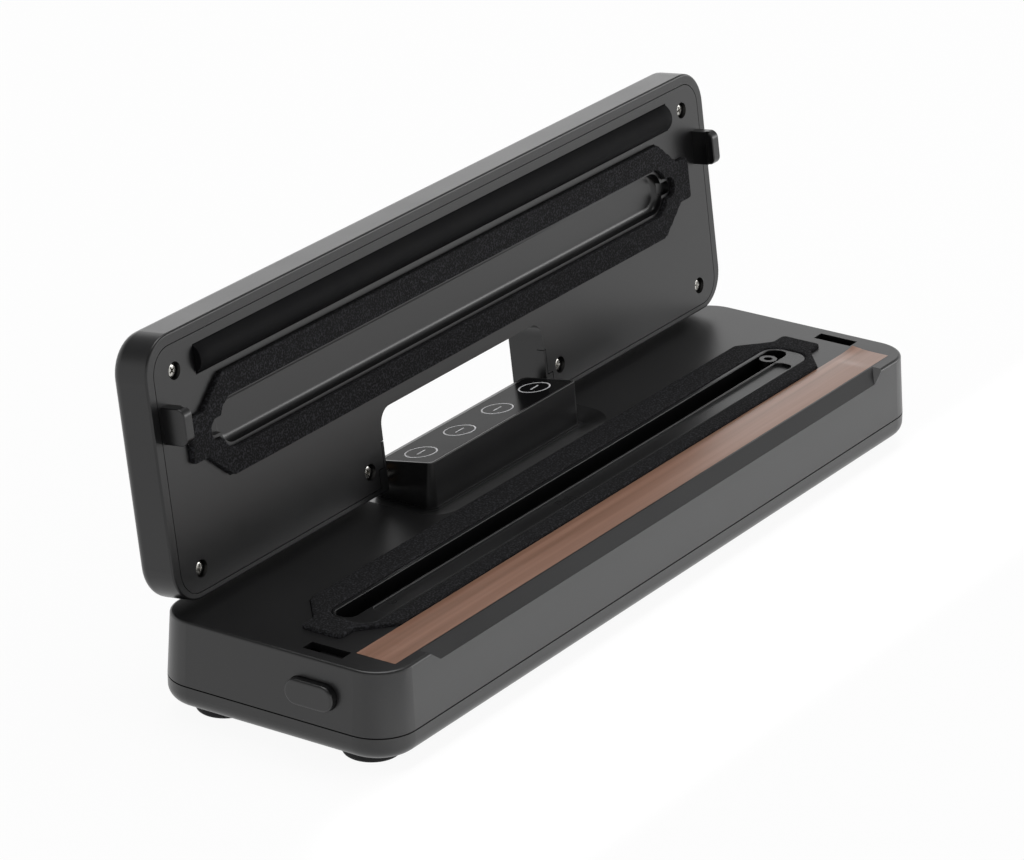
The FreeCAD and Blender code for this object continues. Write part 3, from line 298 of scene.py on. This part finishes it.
zinc_steel = plated_metal("zinc_plated_steel", "#b4b2ad", 0.24, 1.4)
heater_alloy = plated_metal("heater_alloy", "#a39a8c", 0.35, 3)
bearing_bronze = plated_metal("sintered_bronze", "#b98b54", 0.45, 0.8)
dark_nylon = matte_rubber("dark_nylon", "#161617", "#1c1c1d", 0.5)
pale_nylon = matte_rubber("pale_nylon", "#b9b6ae", "#c9c6be", 0.5)
board_epoxy = matte_rubber("green_board_epoxy", "#0f4a26", "#16592f", 0.4)
pale_ink = matte_rubber("pale_print_ink", "#dcdcde", "#e6e6e8", 0.6)
print("metal, nylon, board and ink finishes made")

# %% [markdown]
# ## Finishes of the carried-over solids
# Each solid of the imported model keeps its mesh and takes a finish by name.

# %% Dress the solids
FINISH_OF = {
    "base_housing": case_abs, "bottom_cover": case_abs,
    "release_button_left": case_abs, "release_button_right": case_abs,
    "lid_shell": lid_abs, "lid_plate": lid_abs, "control_housing": lid_abs,
    "latch_hook_left": lid_abs, "latch_hook_right": lid_abs,
    "vacuum_tray": tray_abs, "air_nozzle": tray_abs,
    "base_gasket": foam, "lid_gasket": foam,
    "pressure_bar": silicone, "heater_backing": silicone, "air_tube": silicone,
    "feet": foot_rubber, "cord_gland": foot_rubber,
    "seal_tape": tape_cloth, "control_panel": panel_acrylic,
    "power_transformer": component_resin, "filter_capacitor": component_resin,
    "lid_screws": zinc_steel, "bottom_screws": zinc_steel, "hinge_pins": zinc_steel,
    "pump_motor": zinc_steel, "latch_spring_left": zinc_steel, "latch_spring_right": zinc_steel,
    "heating_strip": heater_alloy, "hinge_bushings": bearing_bronze, "pump_head": pale_nylon,
    "latch_catch_left": dark_nylon, "latch_catch_right": dark_nylon,
    "control_board": board_epoxy, "power_board": board_epoxy,
}
for name, solid in nodes.items():
    solid.data.materials.clear()
    solid.data.materials.append(FINISH_OF[name])
print("dressed", len(FINISH_OF), "solids")

# %% [markdown]
# ## Places
# Pieces of the base are drawn in the frame itself. Pieces of the lid are drawn as if the lid were
# shut, about the hinge axis, and then swung open by the same turn as the lid's solids.

# %% Places and piece helpers
BASE_MIDDLE = -7.61
DECK_TOP = 37.5
FOAM_MIDDLE = BASE_MIDDLE - 8.8
TRAY_MIDDLE = BASE_MIDDLE - 10.95
TAPE_MIDDLE = BASE_MIDDLE - 36.0
PLATE_FACE = -3.5
LID_FOAM_MIDDLE = -51.1
BAR_MIDDLE = -77.9
HINGE_AXIS = Vector((0, BASE_MIDDLE + 42.3, 44.5)) * MM
OPEN_TURN = math.radians(-97.5)
LID_OPEN = Matrix.Translation(HINGE_AXIS) @ Matrix.Rotation(OPEN_TURN, 4, "X")


def new_piece(name, mesh, body, finish):
    """A shown piece in the frame that moves with a body."""
    piece = bpy.data.objects.new(name, mesh)
    scene.collection.objects.link(piece)
    mesh.materials.clear()
    mesh.materials.append(finish)
    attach(piece, body)
    return piece


def plain_mesh(source):
    """The mesh that an object's modifiers give, free of them. The object itself is taken away."""
    bpy.context.view_layer.update()
    mesh = bpy.data.meshes.new_from_object(source.evaluated_get(bpy.context.evaluated_depsgraph_get()))
    bpy.data.objects.remove(source)
    return mesh


def mesh_of(name, shape):
    """A mesh from a bmesh, with its normals facing outward."""
    bmesh.ops.recalc_face_normals(shape, faces=shape.faces[:])
    mesh = bpy.data.meshes.new(name)
    shape.to_mesh(mesh)
    shape.free()
    return mesh


print("hinge axis at", [round(c / MM, 2) for c in HINGE_AXIS], "mm")

# %% [markdown]
# ## Foam rings
# Each ring is stamped from a sheet of closed-cell foam. Its outline is a long frame whose ends slope
# in to a tab, and its opening follows the tray below or the channel in the lid. The outline is drawn
# by quarters, filled and given its thickness. A voxel remesh then rounds the cut edges as a stamping
# knife does, and a slow noise makes the face a little uneven.


# %% Outlines
def arc(x, y, radius, start, stop, steps=8):
    """Points on part of a circle."""
    angles = [start + (stop - start) * i / steps for i in range(steps + 1)]
    return [(x + radius * math.cos(a), y + radius * math.sin(a)) for a in angles]


def lobed_quarter(frame_size, tab_size):
    """A quarter outline: a round corner that runs into a tab's side. Sizes: reach, half width, corner."""
    (reach, wide, corner), (tab_reach, tab_wide, tab_corner) = frame_size, tab_size
    meets = math.asin((tab_wide - wide + corner) / corner)
    bend = arc(reach - corner, wide - corner, corner, math.pi / 2, meets)
    return bend + arc(tab_reach - tab_corner, tab_wide - tab_corner, tab_corner, math.pi / 2, 0)


def eased(before, corner, after, radius, steps=6):
    """Points of the round that eases one corner of an outline."""
    back = (before - corner).normalized()
    onward = (after - corner).normalized()
    half = back.angle(onward) / 2
    centre = corner + (back + onward).normalized() * radius / math.sin(half)
    first = corner + back * radius / math.tan(half) - centre
    last = corner + onward * radius / math.tan(half) - centre
    return [tuple(centre + first.lerp(last, i / steps).normalized() * radius) for i in range(steps + 1)]


def tapered_quarter(shoulder, neck, tip, rounds):
    """A quarter outline: the frame's side, the slope from its shoulder to the neck, then the tab."""
    path = [Vector(spot) for spot in ((0, shoulder[1]), shoulder, neck, tip, (tip[0], 0))]
    corners = zip(path, path[1:], path[2:], rounds)
    return [spot for corner_and_round in corners for spot in eased(*corner_and_round)]


def all_round(quarter, middle):
    """The whole outline from the quarter at its far right."""
    right = quarter + [(x, -y) for x, y in reversed(quarter)]
    return [(x, y + middle) for x, y in right + [(-x, y) for x, y in reversed(right)]]


FOAM_SHOULDER = (142, 18.8)
FOAM_NECK = (154.5, 8.4)
FOAM_TIP = (162.5, 8.4)
FOAM_ROUNDS = (4, 2, 2)
TRAY_REACH = 150.2
TRAY_HALF_WIDTH = 9.65
TRAY_CORNER = 7.2
CHANNEL_SIZE = (145.4, 9.5, 8.4)
CHANNEL_NUB = (150.9, 3.9, 3.4)
foam_outline = tapered_quarter(FOAM_SHOULDER, FOAM_NECK, FOAM_TIP, FOAM_ROUNDS)
tray_outline = arc(TRAY_REACH - TRAY_CORNER, TRAY_HALF_WIDTH - TRAY_CORNER, TRAY_CORNER, math.pi / 2, 0)
channel_outline = lobed_quarter(CHANNEL_SIZE, CHANNEL_NUB)
print("outline points in a quarter:", len(foam_outline), len(tray_outline), len(channel_outline))

# %% Foam rings
FOAM_VOXEL = 0.6
FOAM_SWELL = 0.06
FOAM_SWELL_SPACING = 7.0
FOAM_SEAT = 36.5
FOAM_TOP = 38.8
LID_FOAM_SUNK = 1.0
LID_FOAM_PROUD = 1.9


def foam_ring(name, outer, inner, low, high):
    """A ring cut from foam: filled between two outlines, made thick, remeshed and made uneven."""
    shape = bmesh.new()
    for outline in (outer, inner):
        corners = [shape.verts.new((x * MM, y * MM, low * MM)) for x, y in outline]
        for first, second in zip(corners, corners[1:] + corners[:1]):
            shape.edges.new((first, second))
    bmesh.ops.triangle_fill(shape, use_beauty=True, edges=shape.edges[:])
    raised = bmesh.ops.extrude_face_region(shape, geom=shape.faces[:])["geom"]
    upper = [item for item in raised if isinstance(item, bmesh.types.BMVert)]
    bmesh.ops.translate(shape, vec=Vector((0, 0, (high - low) * MM)), verts=upper)
    blank = bpy.data.objects.new(name, mesh_of(name, shape))
    scene.collection.objects.link(blank)
    knife = blank.modifiers.new("stamped_edges", "REMESH")
    knife.mode = "VOXEL"
    knife.voxel_size = FOAM_VOXEL * MM
    knife.use_smooth_shade = True
    mesh = plain_mesh(blank)
    moved = []
    for vertex in mesh.vertices:
        swell = noise.noise(vertex.co / (FOAM_SWELL_SPACING * MM)) * FOAM_SWELL * MM
        moved.extend(vertex.co + vertex.normal * swell)
    mesh.vertices.foreach_set("co", moved)
    mesh.update()
    return mesh


lower_mesh = foam_ring("base_foam_ring", all_round(foam_outline, FOAM_MIDDLE),
                       all_round(tray_outline, TRAY_MIDDLE), FOAM_SEAT, FOAM_TOP)
lower_ring = new_piece("base_foam_ring", lower_mesh, "base", foam)
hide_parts("base_gasket")

upper_mesh = foam_ring("lid_foam_ring", all_round(foam_outline, LID_FOAM_MIDDLE),
                       all_round(channel_outline, LID_FOAM_MIDDLE),
                       PLATE_FACE - LID_FOAM_PROUD, PLATE_FACE + LID_FOAM_SUNK)
upper_mesh.transform(LID_OPEN)
upper_ring = new_piece("lid_foam_ring", upper_mesh, "lid", foam)
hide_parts("lid_gasket")
print("foam rings:", len(lower_mesh.polygons), "and", len(upper_mesh.polygons), "faces")

# %% [markdown]
# ## Silicone bar
# The bar is an extrusion with a flat root in the plate's groove and a round face that presses the
# bag on the tape. Extruded silicone is cut to length with a blade, which leaves slightly round ends,
# and it never lies perfectly straight.

# %% Silicone bar
BAR_LENGTH = 306.0
BAR_WIDTH = 10.5
BAR_BULGE = 2.95
BAR_ROOT = 1.2
BAR_STATIONS = 60
BAR_WANDER = 0.08
BAR_WANDER_SPACING = 40
BAR_END_ROUND = 0.4
BAR_END_SIZE = 0.95
SHARP_EDGE = math.radians(35)


def bar_section():
    """The bar's section as (across, height) points: a flat root, short sides and a round face below."""
    half = BAR_WIDTH / 2
    radius = half ** 2 / (2 * BAR_BULGE) + BAR_BULGE / 2
    spread = math.asin(half / radius)
    face = arc(0, radius - BAR_BULGE, radius, -math.pi / 2 - spread, -math.pi / 2 + spread, 20)
    return [(-half, BAR_ROOT)] + face + [(half, BAR_ROOT)]


def silicone_bar():
    """The section carried along the bar, a little smaller at the very ends."""
    shape = bmesh.new()
    half = BAR_LENGTH / 2
    between = [half * (2 * i / BAR_STATIONS - 1) for i in range(1, BAR_STATIONS)]
    stations = [-half, BAR_END_ROUND - half] + between + [half - BAR_END_ROUND, half]
    rings = []
    for x in stations:
        size = BAR_END_SIZE if abs(x) == half else 1.0
        y = BAR_MIDDLE + noise.noise(Vector((x / BAR_WANDER_SPACING, 0, 0))) * BAR_WANDER
        spots = [(x, y + across * size, PLATE_FACE + height * size) for across, height in bar_section()]
        rings.append([shape.verts.new(Vector(spot) * MM) for spot in spots])
    for ring, follower in zip(rings, rings[1:]):
        for i in range(len(ring)):
            shape.faces.new((ring[i - 1], ring[i], follower[i], follower[i - 1]))
    for ring in (rings[0], rings[-1]):
        shape.faces.new(ring)
    mesh = mesh_of("pressing_bar", shape)
    mesh.shade_smooth()
    mesh.set_sharp_from_angle(angle=SHARP_EDGE)
    return mesh


bar_mesh = silicone_bar()
bar_mesh.transform(LID_OPEN)
bar = new_piece("pressing_bar", bar_mesh, "lid", silicone)
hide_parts("pressure_bar")
print("silicone bar:", len(bar_mesh.polygons), "faces")

# %% [markdown]
# ## Tape over the heater
# A strip of coated glass cloth covers the heating strip so that bags don't stick. It is stuck down
# at its ends, bulges a little over the strip and lies with small lengthwise ripples. It is a sheet,
# so it is one layer of faces, moved up from the deck by a height that depends on the place.

# %% Tape
TAPE_LENGTH = 337.0
TAPE_WIDTH = 16.0
TAPE_STEPS = (240, 16)
TAPE_LIFT = 0.05
TAPE_CROWN = 0.2
TAPE_RIPPLE = 0.04
RIPPLE_LENGTH = 45
RIPPLE_WIDTH = 2.5
STUCK_END = 13.0
STUCK_SLOPE = 4
CORNER_CURL = 0.8
CURL_REACH = 9


def tape_height(x, y):
    """The tape's height over the deck: a crown over the strip, flat stuck ends and one curled corner."""
    from_end = TAPE_LENGTH / 2 - abs(x)
    loose = min(1.0, max(0.0, (from_end - STUCK_END) / STUCK_SLOPE))
    crown = TAPE_CROWN * (1 - (2 * y / TAPE_WIDTH) ** 2) * loose
    ripple = TAPE_RIPPLE * noise.noise(Vector((x / RIPPLE_LENGTH, y / RIPPLE_WIDTH, 0))) * loose
    from_corner = Vector((x - TAPE_LENGTH / 2, y - TAPE_WIDTH / 2)).length
    curl = CORNER_CURL * max(0.0, 1 - from_corner / CURL_REACH) ** 2
    return TAPE_LIFT + crown + ripple + curl


def tape_sheet():
    """The tape's grid of faces."""
    along, across = TAPE_STEPS
    xs = [TAPE_LENGTH * (i / along - 0.5) for i in range(along + 1)]
    ys = [TAPE_WIDTH * (j / across - 0.5) for j in range(across + 1)]
    spots = [(x * MM, (TAPE_MIDDLE + y) * MM, (DECK_TOP + tape_height(x, y)) * MM) for x in xs for y in ys]
    row = across + 1
    faces = [(i * row + j, (i + 1) * row + j, (i + 1) * row + j + 1, i * row + j + 1)
             for i in range(along) for j in range(across)]
    mesh = bpy.data.meshes.new("heater_tape")
    mesh.from_pydata(spots, [], faces)
    mesh.shade_smooth()
    return mesh


tape = new_piece("heater_tape", tape_sheet(), "base", tape_cloth)
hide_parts("seal_tape")
print("tape:", len(tape.data.polygons), "faces")

# %% [markdown]
# ## Repeats
# Screws and printed rings repeat, so one node group puts a piece on every point of a mesh. Each copy
# can be turned by chance, as a screw stops where it gets tight. The seed is fixed.


# %% Node group for repeats
def repeat_group():
    """A node group that puts a piece on every point, turned by chance up to a limit, in one finish."""
    tree = bpy.data.node_groups.new("repeat_on_points", "GeometryNodeTree")
    tree.interface.new_socket("Geometry", in_out="OUTPUT", socket_type="NodeSocketGeometry")
    inputs = {"Geometry": "Geometry", "Piece": "Object", "Largest turn": "Float", "Seed": "Int",
              "Finish": "Material"}
    for name, kind in inputs.items():
        tree.interface.new_socket(name, in_out="INPUT", socket_type="NodeSocket" + kind)
    given = add_node(tree, "NodeGroupInput").outputs
    piece = add_node(tree, "GeometryNodeObjectInfo", links={"Object": given["Piece"]})
    turn = add_node(tree, "FunctionNodeRandomValue", {"data_type": "FLOAT"}, links={"Seed": given["Seed"]})
    tree.links.new(given["Largest turn"], turn.inputs[3])
    spin = add_node(tree, "ShaderNodeCombineXYZ", links={"Z": turn.outputs[1]})
    copies = add_node(tree, "GeometryNodeInstanceOnPoints", links={
        "Points": given["Geometry"], "Instance": piece.outputs["Geometry"],
        "Rotation": spin.outputs["Vector"]})
    real = add_node(tree, "GeometryNodeRealizeInstances", links={"Geometry": copies.outputs["Instances"]})
    dressed = add_node(tree, "GeometryNodeSetMaterial", links={
        "Geometry": real.outputs["Geometry"], "Material": given["Finish"]})
    add_node(tree, "NodeGroupOutput", links={"Geometry": dressed.outputs["Geometry"]})
    return tree


REPEAT = repeat_group()


def repeated(name, piece, places, finish, largest_turn=0.0, seed=1):
    """One plain mesh with a copy of the piece at every place, in millimetres."""
    points = bpy.data.meshes.new(name)
    points.from_pydata([Vector(place) * MM for place in places], [], [])
    holder = bpy.data.objects.new(name, points)
    scene.collection.objects.link(holder)
    modifier = holder.modifiers.new("repeat", "NODES")
    modifier.node_group = REPEAT
    sockets = {item.name: item.identifier for item in REPEAT.interface.items_tree if item.in_out == "INPUT"}
    settings = {"Piece": piece, "Largest turn": largest_turn, "Seed": seed, "Finish": finish}
    for socket, value in settings.items():
        modifier[sockets[socket]] = value
    mesh = plain_mesh(holder)
    bpy.data.objects.remove(piece)
    return mesh


print("node group for repeats:", len(REPEAT.nodes), "nodes")

# %% [markdown]
# ## Cross-head screws
# A pan-head screw is cold-formed: a low dome with a round rim and a cross that a punch presses in.
# The dome is a profile turned about the axis, and the cross is cut out of it by two crossed wedges.

# %% Screws
HEAD_RADIUS = 2.8
HEAD_HEIGHT = 1.2
SHANK_RADIUS = 1.45
CROSS_LENGTH = 3.4
CROSS_WIDTH = 0.75
CROSS_DEPTH = 1.0
CROSS_TAPER = (1.15, 0.55)
SCREW_SEGMENTS = 36
SCREW_POINT = 1.5
SHARP_RIM = math.radians(30)


def turned(profile, segments):
    """A bmesh of a (radius, height) profile turned about the Z axis."""
    shape = bmesh.new()
    line = [shape.verts.new((r * MM, 0, h * MM)) for r, h in profile]
    edges = [shape.edges.new(pair) for pair in zip(line, line[1:])]
    bmesh.ops.spin(shape, geom=line + edges, cent=(0, 0, 0), axis=(0, 0, 1), angle=2 * math.pi,
                   steps=segments)
    bmesh.ops.remove_doubles(shape, verts=shape.verts[:], dist=0.001 * MM)
    return shape


def cross_punch():
    """Two crossed wedges, narrower towards their tip, that stand in the head's face."""
    shape = bmesh.new()
    for quarter in (0, 1):
        made = bmesh.ops.create_cube(shape, size=1.0)["verts"]
        for vertex in made:
            size = CROSS_TAPER[vertex.co.z > 0]
            long = vertex.co.x * CROSS_LENGTH * size
            wide = vertex.co.y * CROSS_WIDTH * size
            x, y = (long, wide) if quarter == 0 else (-wide, long)
            vertex.co = Vector((x, y, vertex.co.z * 2 * CROSS_DEPTH)) * MM
    return mesh_of("cross_punch", shape)


def screw(length):
    """A screw with its face at the origin looking down and its shank going up."""
    dome = [(0, 0), (1.6, 0.05), (2.3, 0.25), (2.7, 0.6), (HEAD_RADIUS, 0.9), (HEAD_RADIUS, HEAD_HEIGHT)]
    profile = dome + [(SHANK_RADIUS, HEAD_HEIGHT), (SHANK_RADIUS, length - SCREW_POINT), (0, length)]
    body = bpy.data.objects.new("screw", mesh_of("screw", turned(profile, SCREW_SEGMENTS)))
    punch = bpy.data.objects.new("cross_punch", cross_punch())
    for item in (body, punch):
        scene.collection.objects.link(item)
    pressed = body.modifiers.new("pressed_cross", "BOOLEAN")
    pressed.operation = "DIFFERENCE"
    pressed.object = punch
    pressed.solver = "EXACT"
    pressed.use_self = True
    mesh = plain_mesh(body)
    bpy.data.objects.remove(punch)
    mesh.shade_smooth()
    mesh.set_sharp_from_angle(angle=SHARP_RIM)
    made = bpy.data.objects.new("screw", mesh)
    scene.collection.objects.link(made)
    return made


print("screw head:", 2 * HEAD_RADIUS, "mm wide")

# %% Place the screws
LID_SCREW_LENGTH = 6.2
LID_SCREW_FACE = PLATE_FACE + 1.1
LID_FRONT_ROW = -77.5
LID_HINGE_ROW = -5.7
LID_END_SCREW = 164.3
NOTCH_SCREW = 62.9
CASE_SCREW_LENGTH = 9.2
CASE_SCREW_FACE = 4.8
CASE_SCREW_COLUMNS = (-148, 0, 148)
CASE_SCREW_ROWS = (-41, 41)
QUARTER_TURN = math.pi / 2

lid_spots = [(x, y) for x in (-LID_END_SCREW, LID_END_SCREW) for y in (LID_FRONT_ROW, LID_HINGE_ROW)]
lid_spots += [(-NOTCH_SCREW, LID_HINGE_ROW), (NOTCH_SCREW, LID_HINGE_ROW)]
lid_places = [(x, y, LID_SCREW_FACE) for x, y in lid_spots]
lid_screw = screw(LID_SCREW_LENGTH)
lid_screw_mesh = repeated("lid_screw_set", lid_screw, lid_places, zinc_steel, QUARTER_TURN, seed=4)
lid_screw_mesh.transform(LID_OPEN)
lid_screws = new_piece("lid_screw_set", lid_screw_mesh, "lid", zinc_steel)
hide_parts("lid_screws")

case_places = [(x, BASE_MIDDLE + y, CASE_SCREW_FACE) for x in CASE_SCREW_COLUMNS for y in CASE_SCREW_ROWS]
case_screw = screw(CASE_SCREW_LENGTH)
case_screw_mesh = repeated("case_screw_set", case_screw, case_places, zinc_steel, QUARTER_TURN, seed=9)
case_screws = new_piece("case_screw_set", case_screw_mesh, "base", zinc_steel)
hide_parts("bottom_screws")
print("screws:", len(lid_places), "in the lid and", len(case_places), "in the case")

# %% [markdown]
# ## Marks on the touch panel
# Four touch keys are printed on the panel as thin rings, each with a short plain bar in place of a
# word. Printed ink stands a few hundredths of a millimetre proud, so the marks are thin raised bands
# on the panel's tilted face.

# %% Panel marks
PANEL_EDGE = Vector((0, BASE_MIDDLE + 23.0, 52.8)) * MM
PANEL_TILT = math.radians(-9.8)
PANEL_FACE = Matrix.Translation(PANEL_EDGE) @ Matrix.Rotation(PANEL_TILT, 4, "X")
KEY_COUNT = 4
KEY_SPACING = 25.1
KEY_DEPTH = 12.0
RING_RADIUS = 6.2
RING_WIDTH = 0.6
RING_SEGMENTS = 64
INK_RISE = 0.03
BAR_MARK = (5.2, 0.7)


def key_mark():
    """One printed key: a ring and a short bar in it."""
    inside = RING_RADIUS - RING_WIDTH
    band = [(inside, 0), (inside, INK_RISE), (RING_RADIUS, INK_RISE), (RING_RADIUS, 0)]
    shape = turned(band, RING_SEGMENTS)
    dash = bmesh.ops.create_grid(shape, x_segments=8, y_segments=2, size=0.5)["verts"]
    for vertex in dash:
        vertex.co = Vector((vertex.co.x * BAR_MARK[0], vertex.co.y * BAR_MARK[1], INK_RISE)) * MM
    made = bpy.data.objects.new("key_mark", mesh_of("key_mark", shape))
    scene.collection.objects.link(made)
    return made


key_places = [(KEY_SPACING * (i - (KEY_COUNT - 1) / 2), KEY_DEPTH, 0) for i in range(KEY_COUNT)]
mark_mesh = repeated("panel_marks", key_mark(), key_places, pale_ink)
mark_mesh.transform(PANEL_FACE)
marks = new_piece("panel_marks", mark_mesh, "base", pale_ink)
print("panel marks:", len(key_places), "keys")

# %% [markdown]
# ## Studio
# Most of what is seen of black plastic is a reflection, so the studio shapes the picture. A white
# sweep runs from the floor up to the height of the lamps, and above it the room is dim: the front
# mirrors the bright floor, while the deck mirrors the dark lid. One soft box overhead lights the
# tape and the foam, and two low ones at the right draw the front edge and the lid's top edge. A
# narrow beam falls on the floor before the case, for the front to mirror.

# %% Floor
FLOOR_HALF = 6.0
FLOOR_WHITE_SHARE = 0.93
floor_mesh = bpy.data.meshes.new("studio_floor")
floor_corners = [(x * FLOOR_HALF, y * FLOOR_HALF, 0) for x, y in ((-1, -1), (1, -1), (1, 1), (-1, 1))]
floor_mesh.from_pydata(floor_corners, [], [(0, 1, 2, 3)])
floor = bpy.data.objects.new("studio_floor", floor_mesh)
scene.collection.objects.link(floor)
floor_material, floor_tree, floor_shader, _ = new_material("white_paper_sweep")
floor_shader.inputs["Base Color"].default_value = linear("#f6f6f6")
floor_shader.inputs["Roughness"].default_value = 0.9
floor_shader.inputs["Specular IOR Level"].default_value = 0.0
ray = add_node(floor_tree, "ShaderNodeLightPath").outputs
seen = add_node(floor_tree, "ShaderNodeMath", {"operation": "MAXIMUM"})
floor_tree.links.new(ray["Is Camera Ray"], seen.inputs[0])
floor_tree.links.new(ray["Is Glossy Ray"], seen.inputs[1])
clear = add_node(floor_tree, "ShaderNodeMath", {"operation": "MAXIMUM"})
floor_tree.links.new(seen.outputs["Value"], clear.inputs[0])
floor_tree.links.new(ray["Is Transmission Ray"], clear.inputs[1])
share = add_node(floor_tree, "ShaderNodeMath", {"operation": "MULTIPLY"})
floor_tree.links.new(clear.outputs["Value"], share.inputs[0])
share.inputs[1].default_value = FLOOR_WHITE_SHARE
glow = add_node(floor_tree, "ShaderNodeEmission", values={"Color": linear("#ffffff"), "Strength": 1.0})
both = add_node(floor_tree, "ShaderNodeMixShader", links={"Fac": share.outputs["Value"]})
floor_tree.links.new(floor_shader.outputs["BSDF"], both.inputs[1])
floor_tree.links.new(glow.outputs["Emission"], both.inputs[2])
floor_tree.links.new(both.outputs["Shader"], floor_tree.nodes["Material Output"].inputs["Surface"])
floor.data.materials.append(floor_material)
print("floor:", 2 * FLOOR_HALF, "m wide")

# %% Sky
SKY_OVERHEAD = 0.25
SWEEP_TOP = 0.3
DIM_FROM = 0.62
world = bpy.data.worlds.new("studio")
scene.world = world
world.use_nodes = True
sky_tree = world.node_tree
direction = add_node(sky_tree, "ShaderNodeTexCoord").outputs["Generated"]
height = add_node(sky_tree, "ShaderNodeSeparateXYZ", links={"Vector": direction}).outputs["Z"]
level = add_node(
    sky_tree, "ShaderNodeMapRange", {"interpolation_type": "SMOOTHSTEP"},
    {"From Min": SWEEP_TOP, "From Max": DIM_FROM, "To Min": 1.0, "To Max": SKY_OVERHEAD}, {"Value": height})
background = sky_tree.nodes["Background"]
background.inputs["Color"].default_value = linear("#ffffff")
sky_tree.links.new(level.outputs["Result"], background.inputs["Strength"])
print("sky overhead at", SKY_OVERHEAD, "of the sweep's white")


# %% Lamps
def soft_lamp(name, place, target, size, power, spread=180):
    """A rectangular soft box that looks at a point. Spread is the angle of its beam in degrees."""
    lamp = bpy.data.objects.new(name, bpy.data.lights.new(name, "AREA"))
    lamp.data.shape = "RECTANGLE"
    lamp.data.size, lamp.data.size_y = size
    lamp.data.energy = power
    lamp.data.spread = math.radians(spread)
    lamp.location = place
    lamp.rotation_mode = "QUATERNION"
    lamp.rotation_quaternion = (Vector(target) - Vector(place)).to_track_quat("-Z", "Y")
    scene.collection.objects.link(lamp)


soft_lamp("overhead_box", (0.3, 0.2, 1.8), (0, 0, 0.05), (1.2, 1.2), 16)
soft_lamp("front_right_box", (1.7, -1.3, 0.35), (0, 0, 0.03), (1.2, 0.6), 8)
soft_lamp("rear_right_box", (1.9, 1.45, 0.5), (0, 0, 0.1), (1.6, 0.6), 2)
soft_lamp("floor_strip", (0.05, -0.1, 0.7), (0.05, -0.1, 0), (0.55, 0.02), 0.6, spread=7)
print("studio lit")
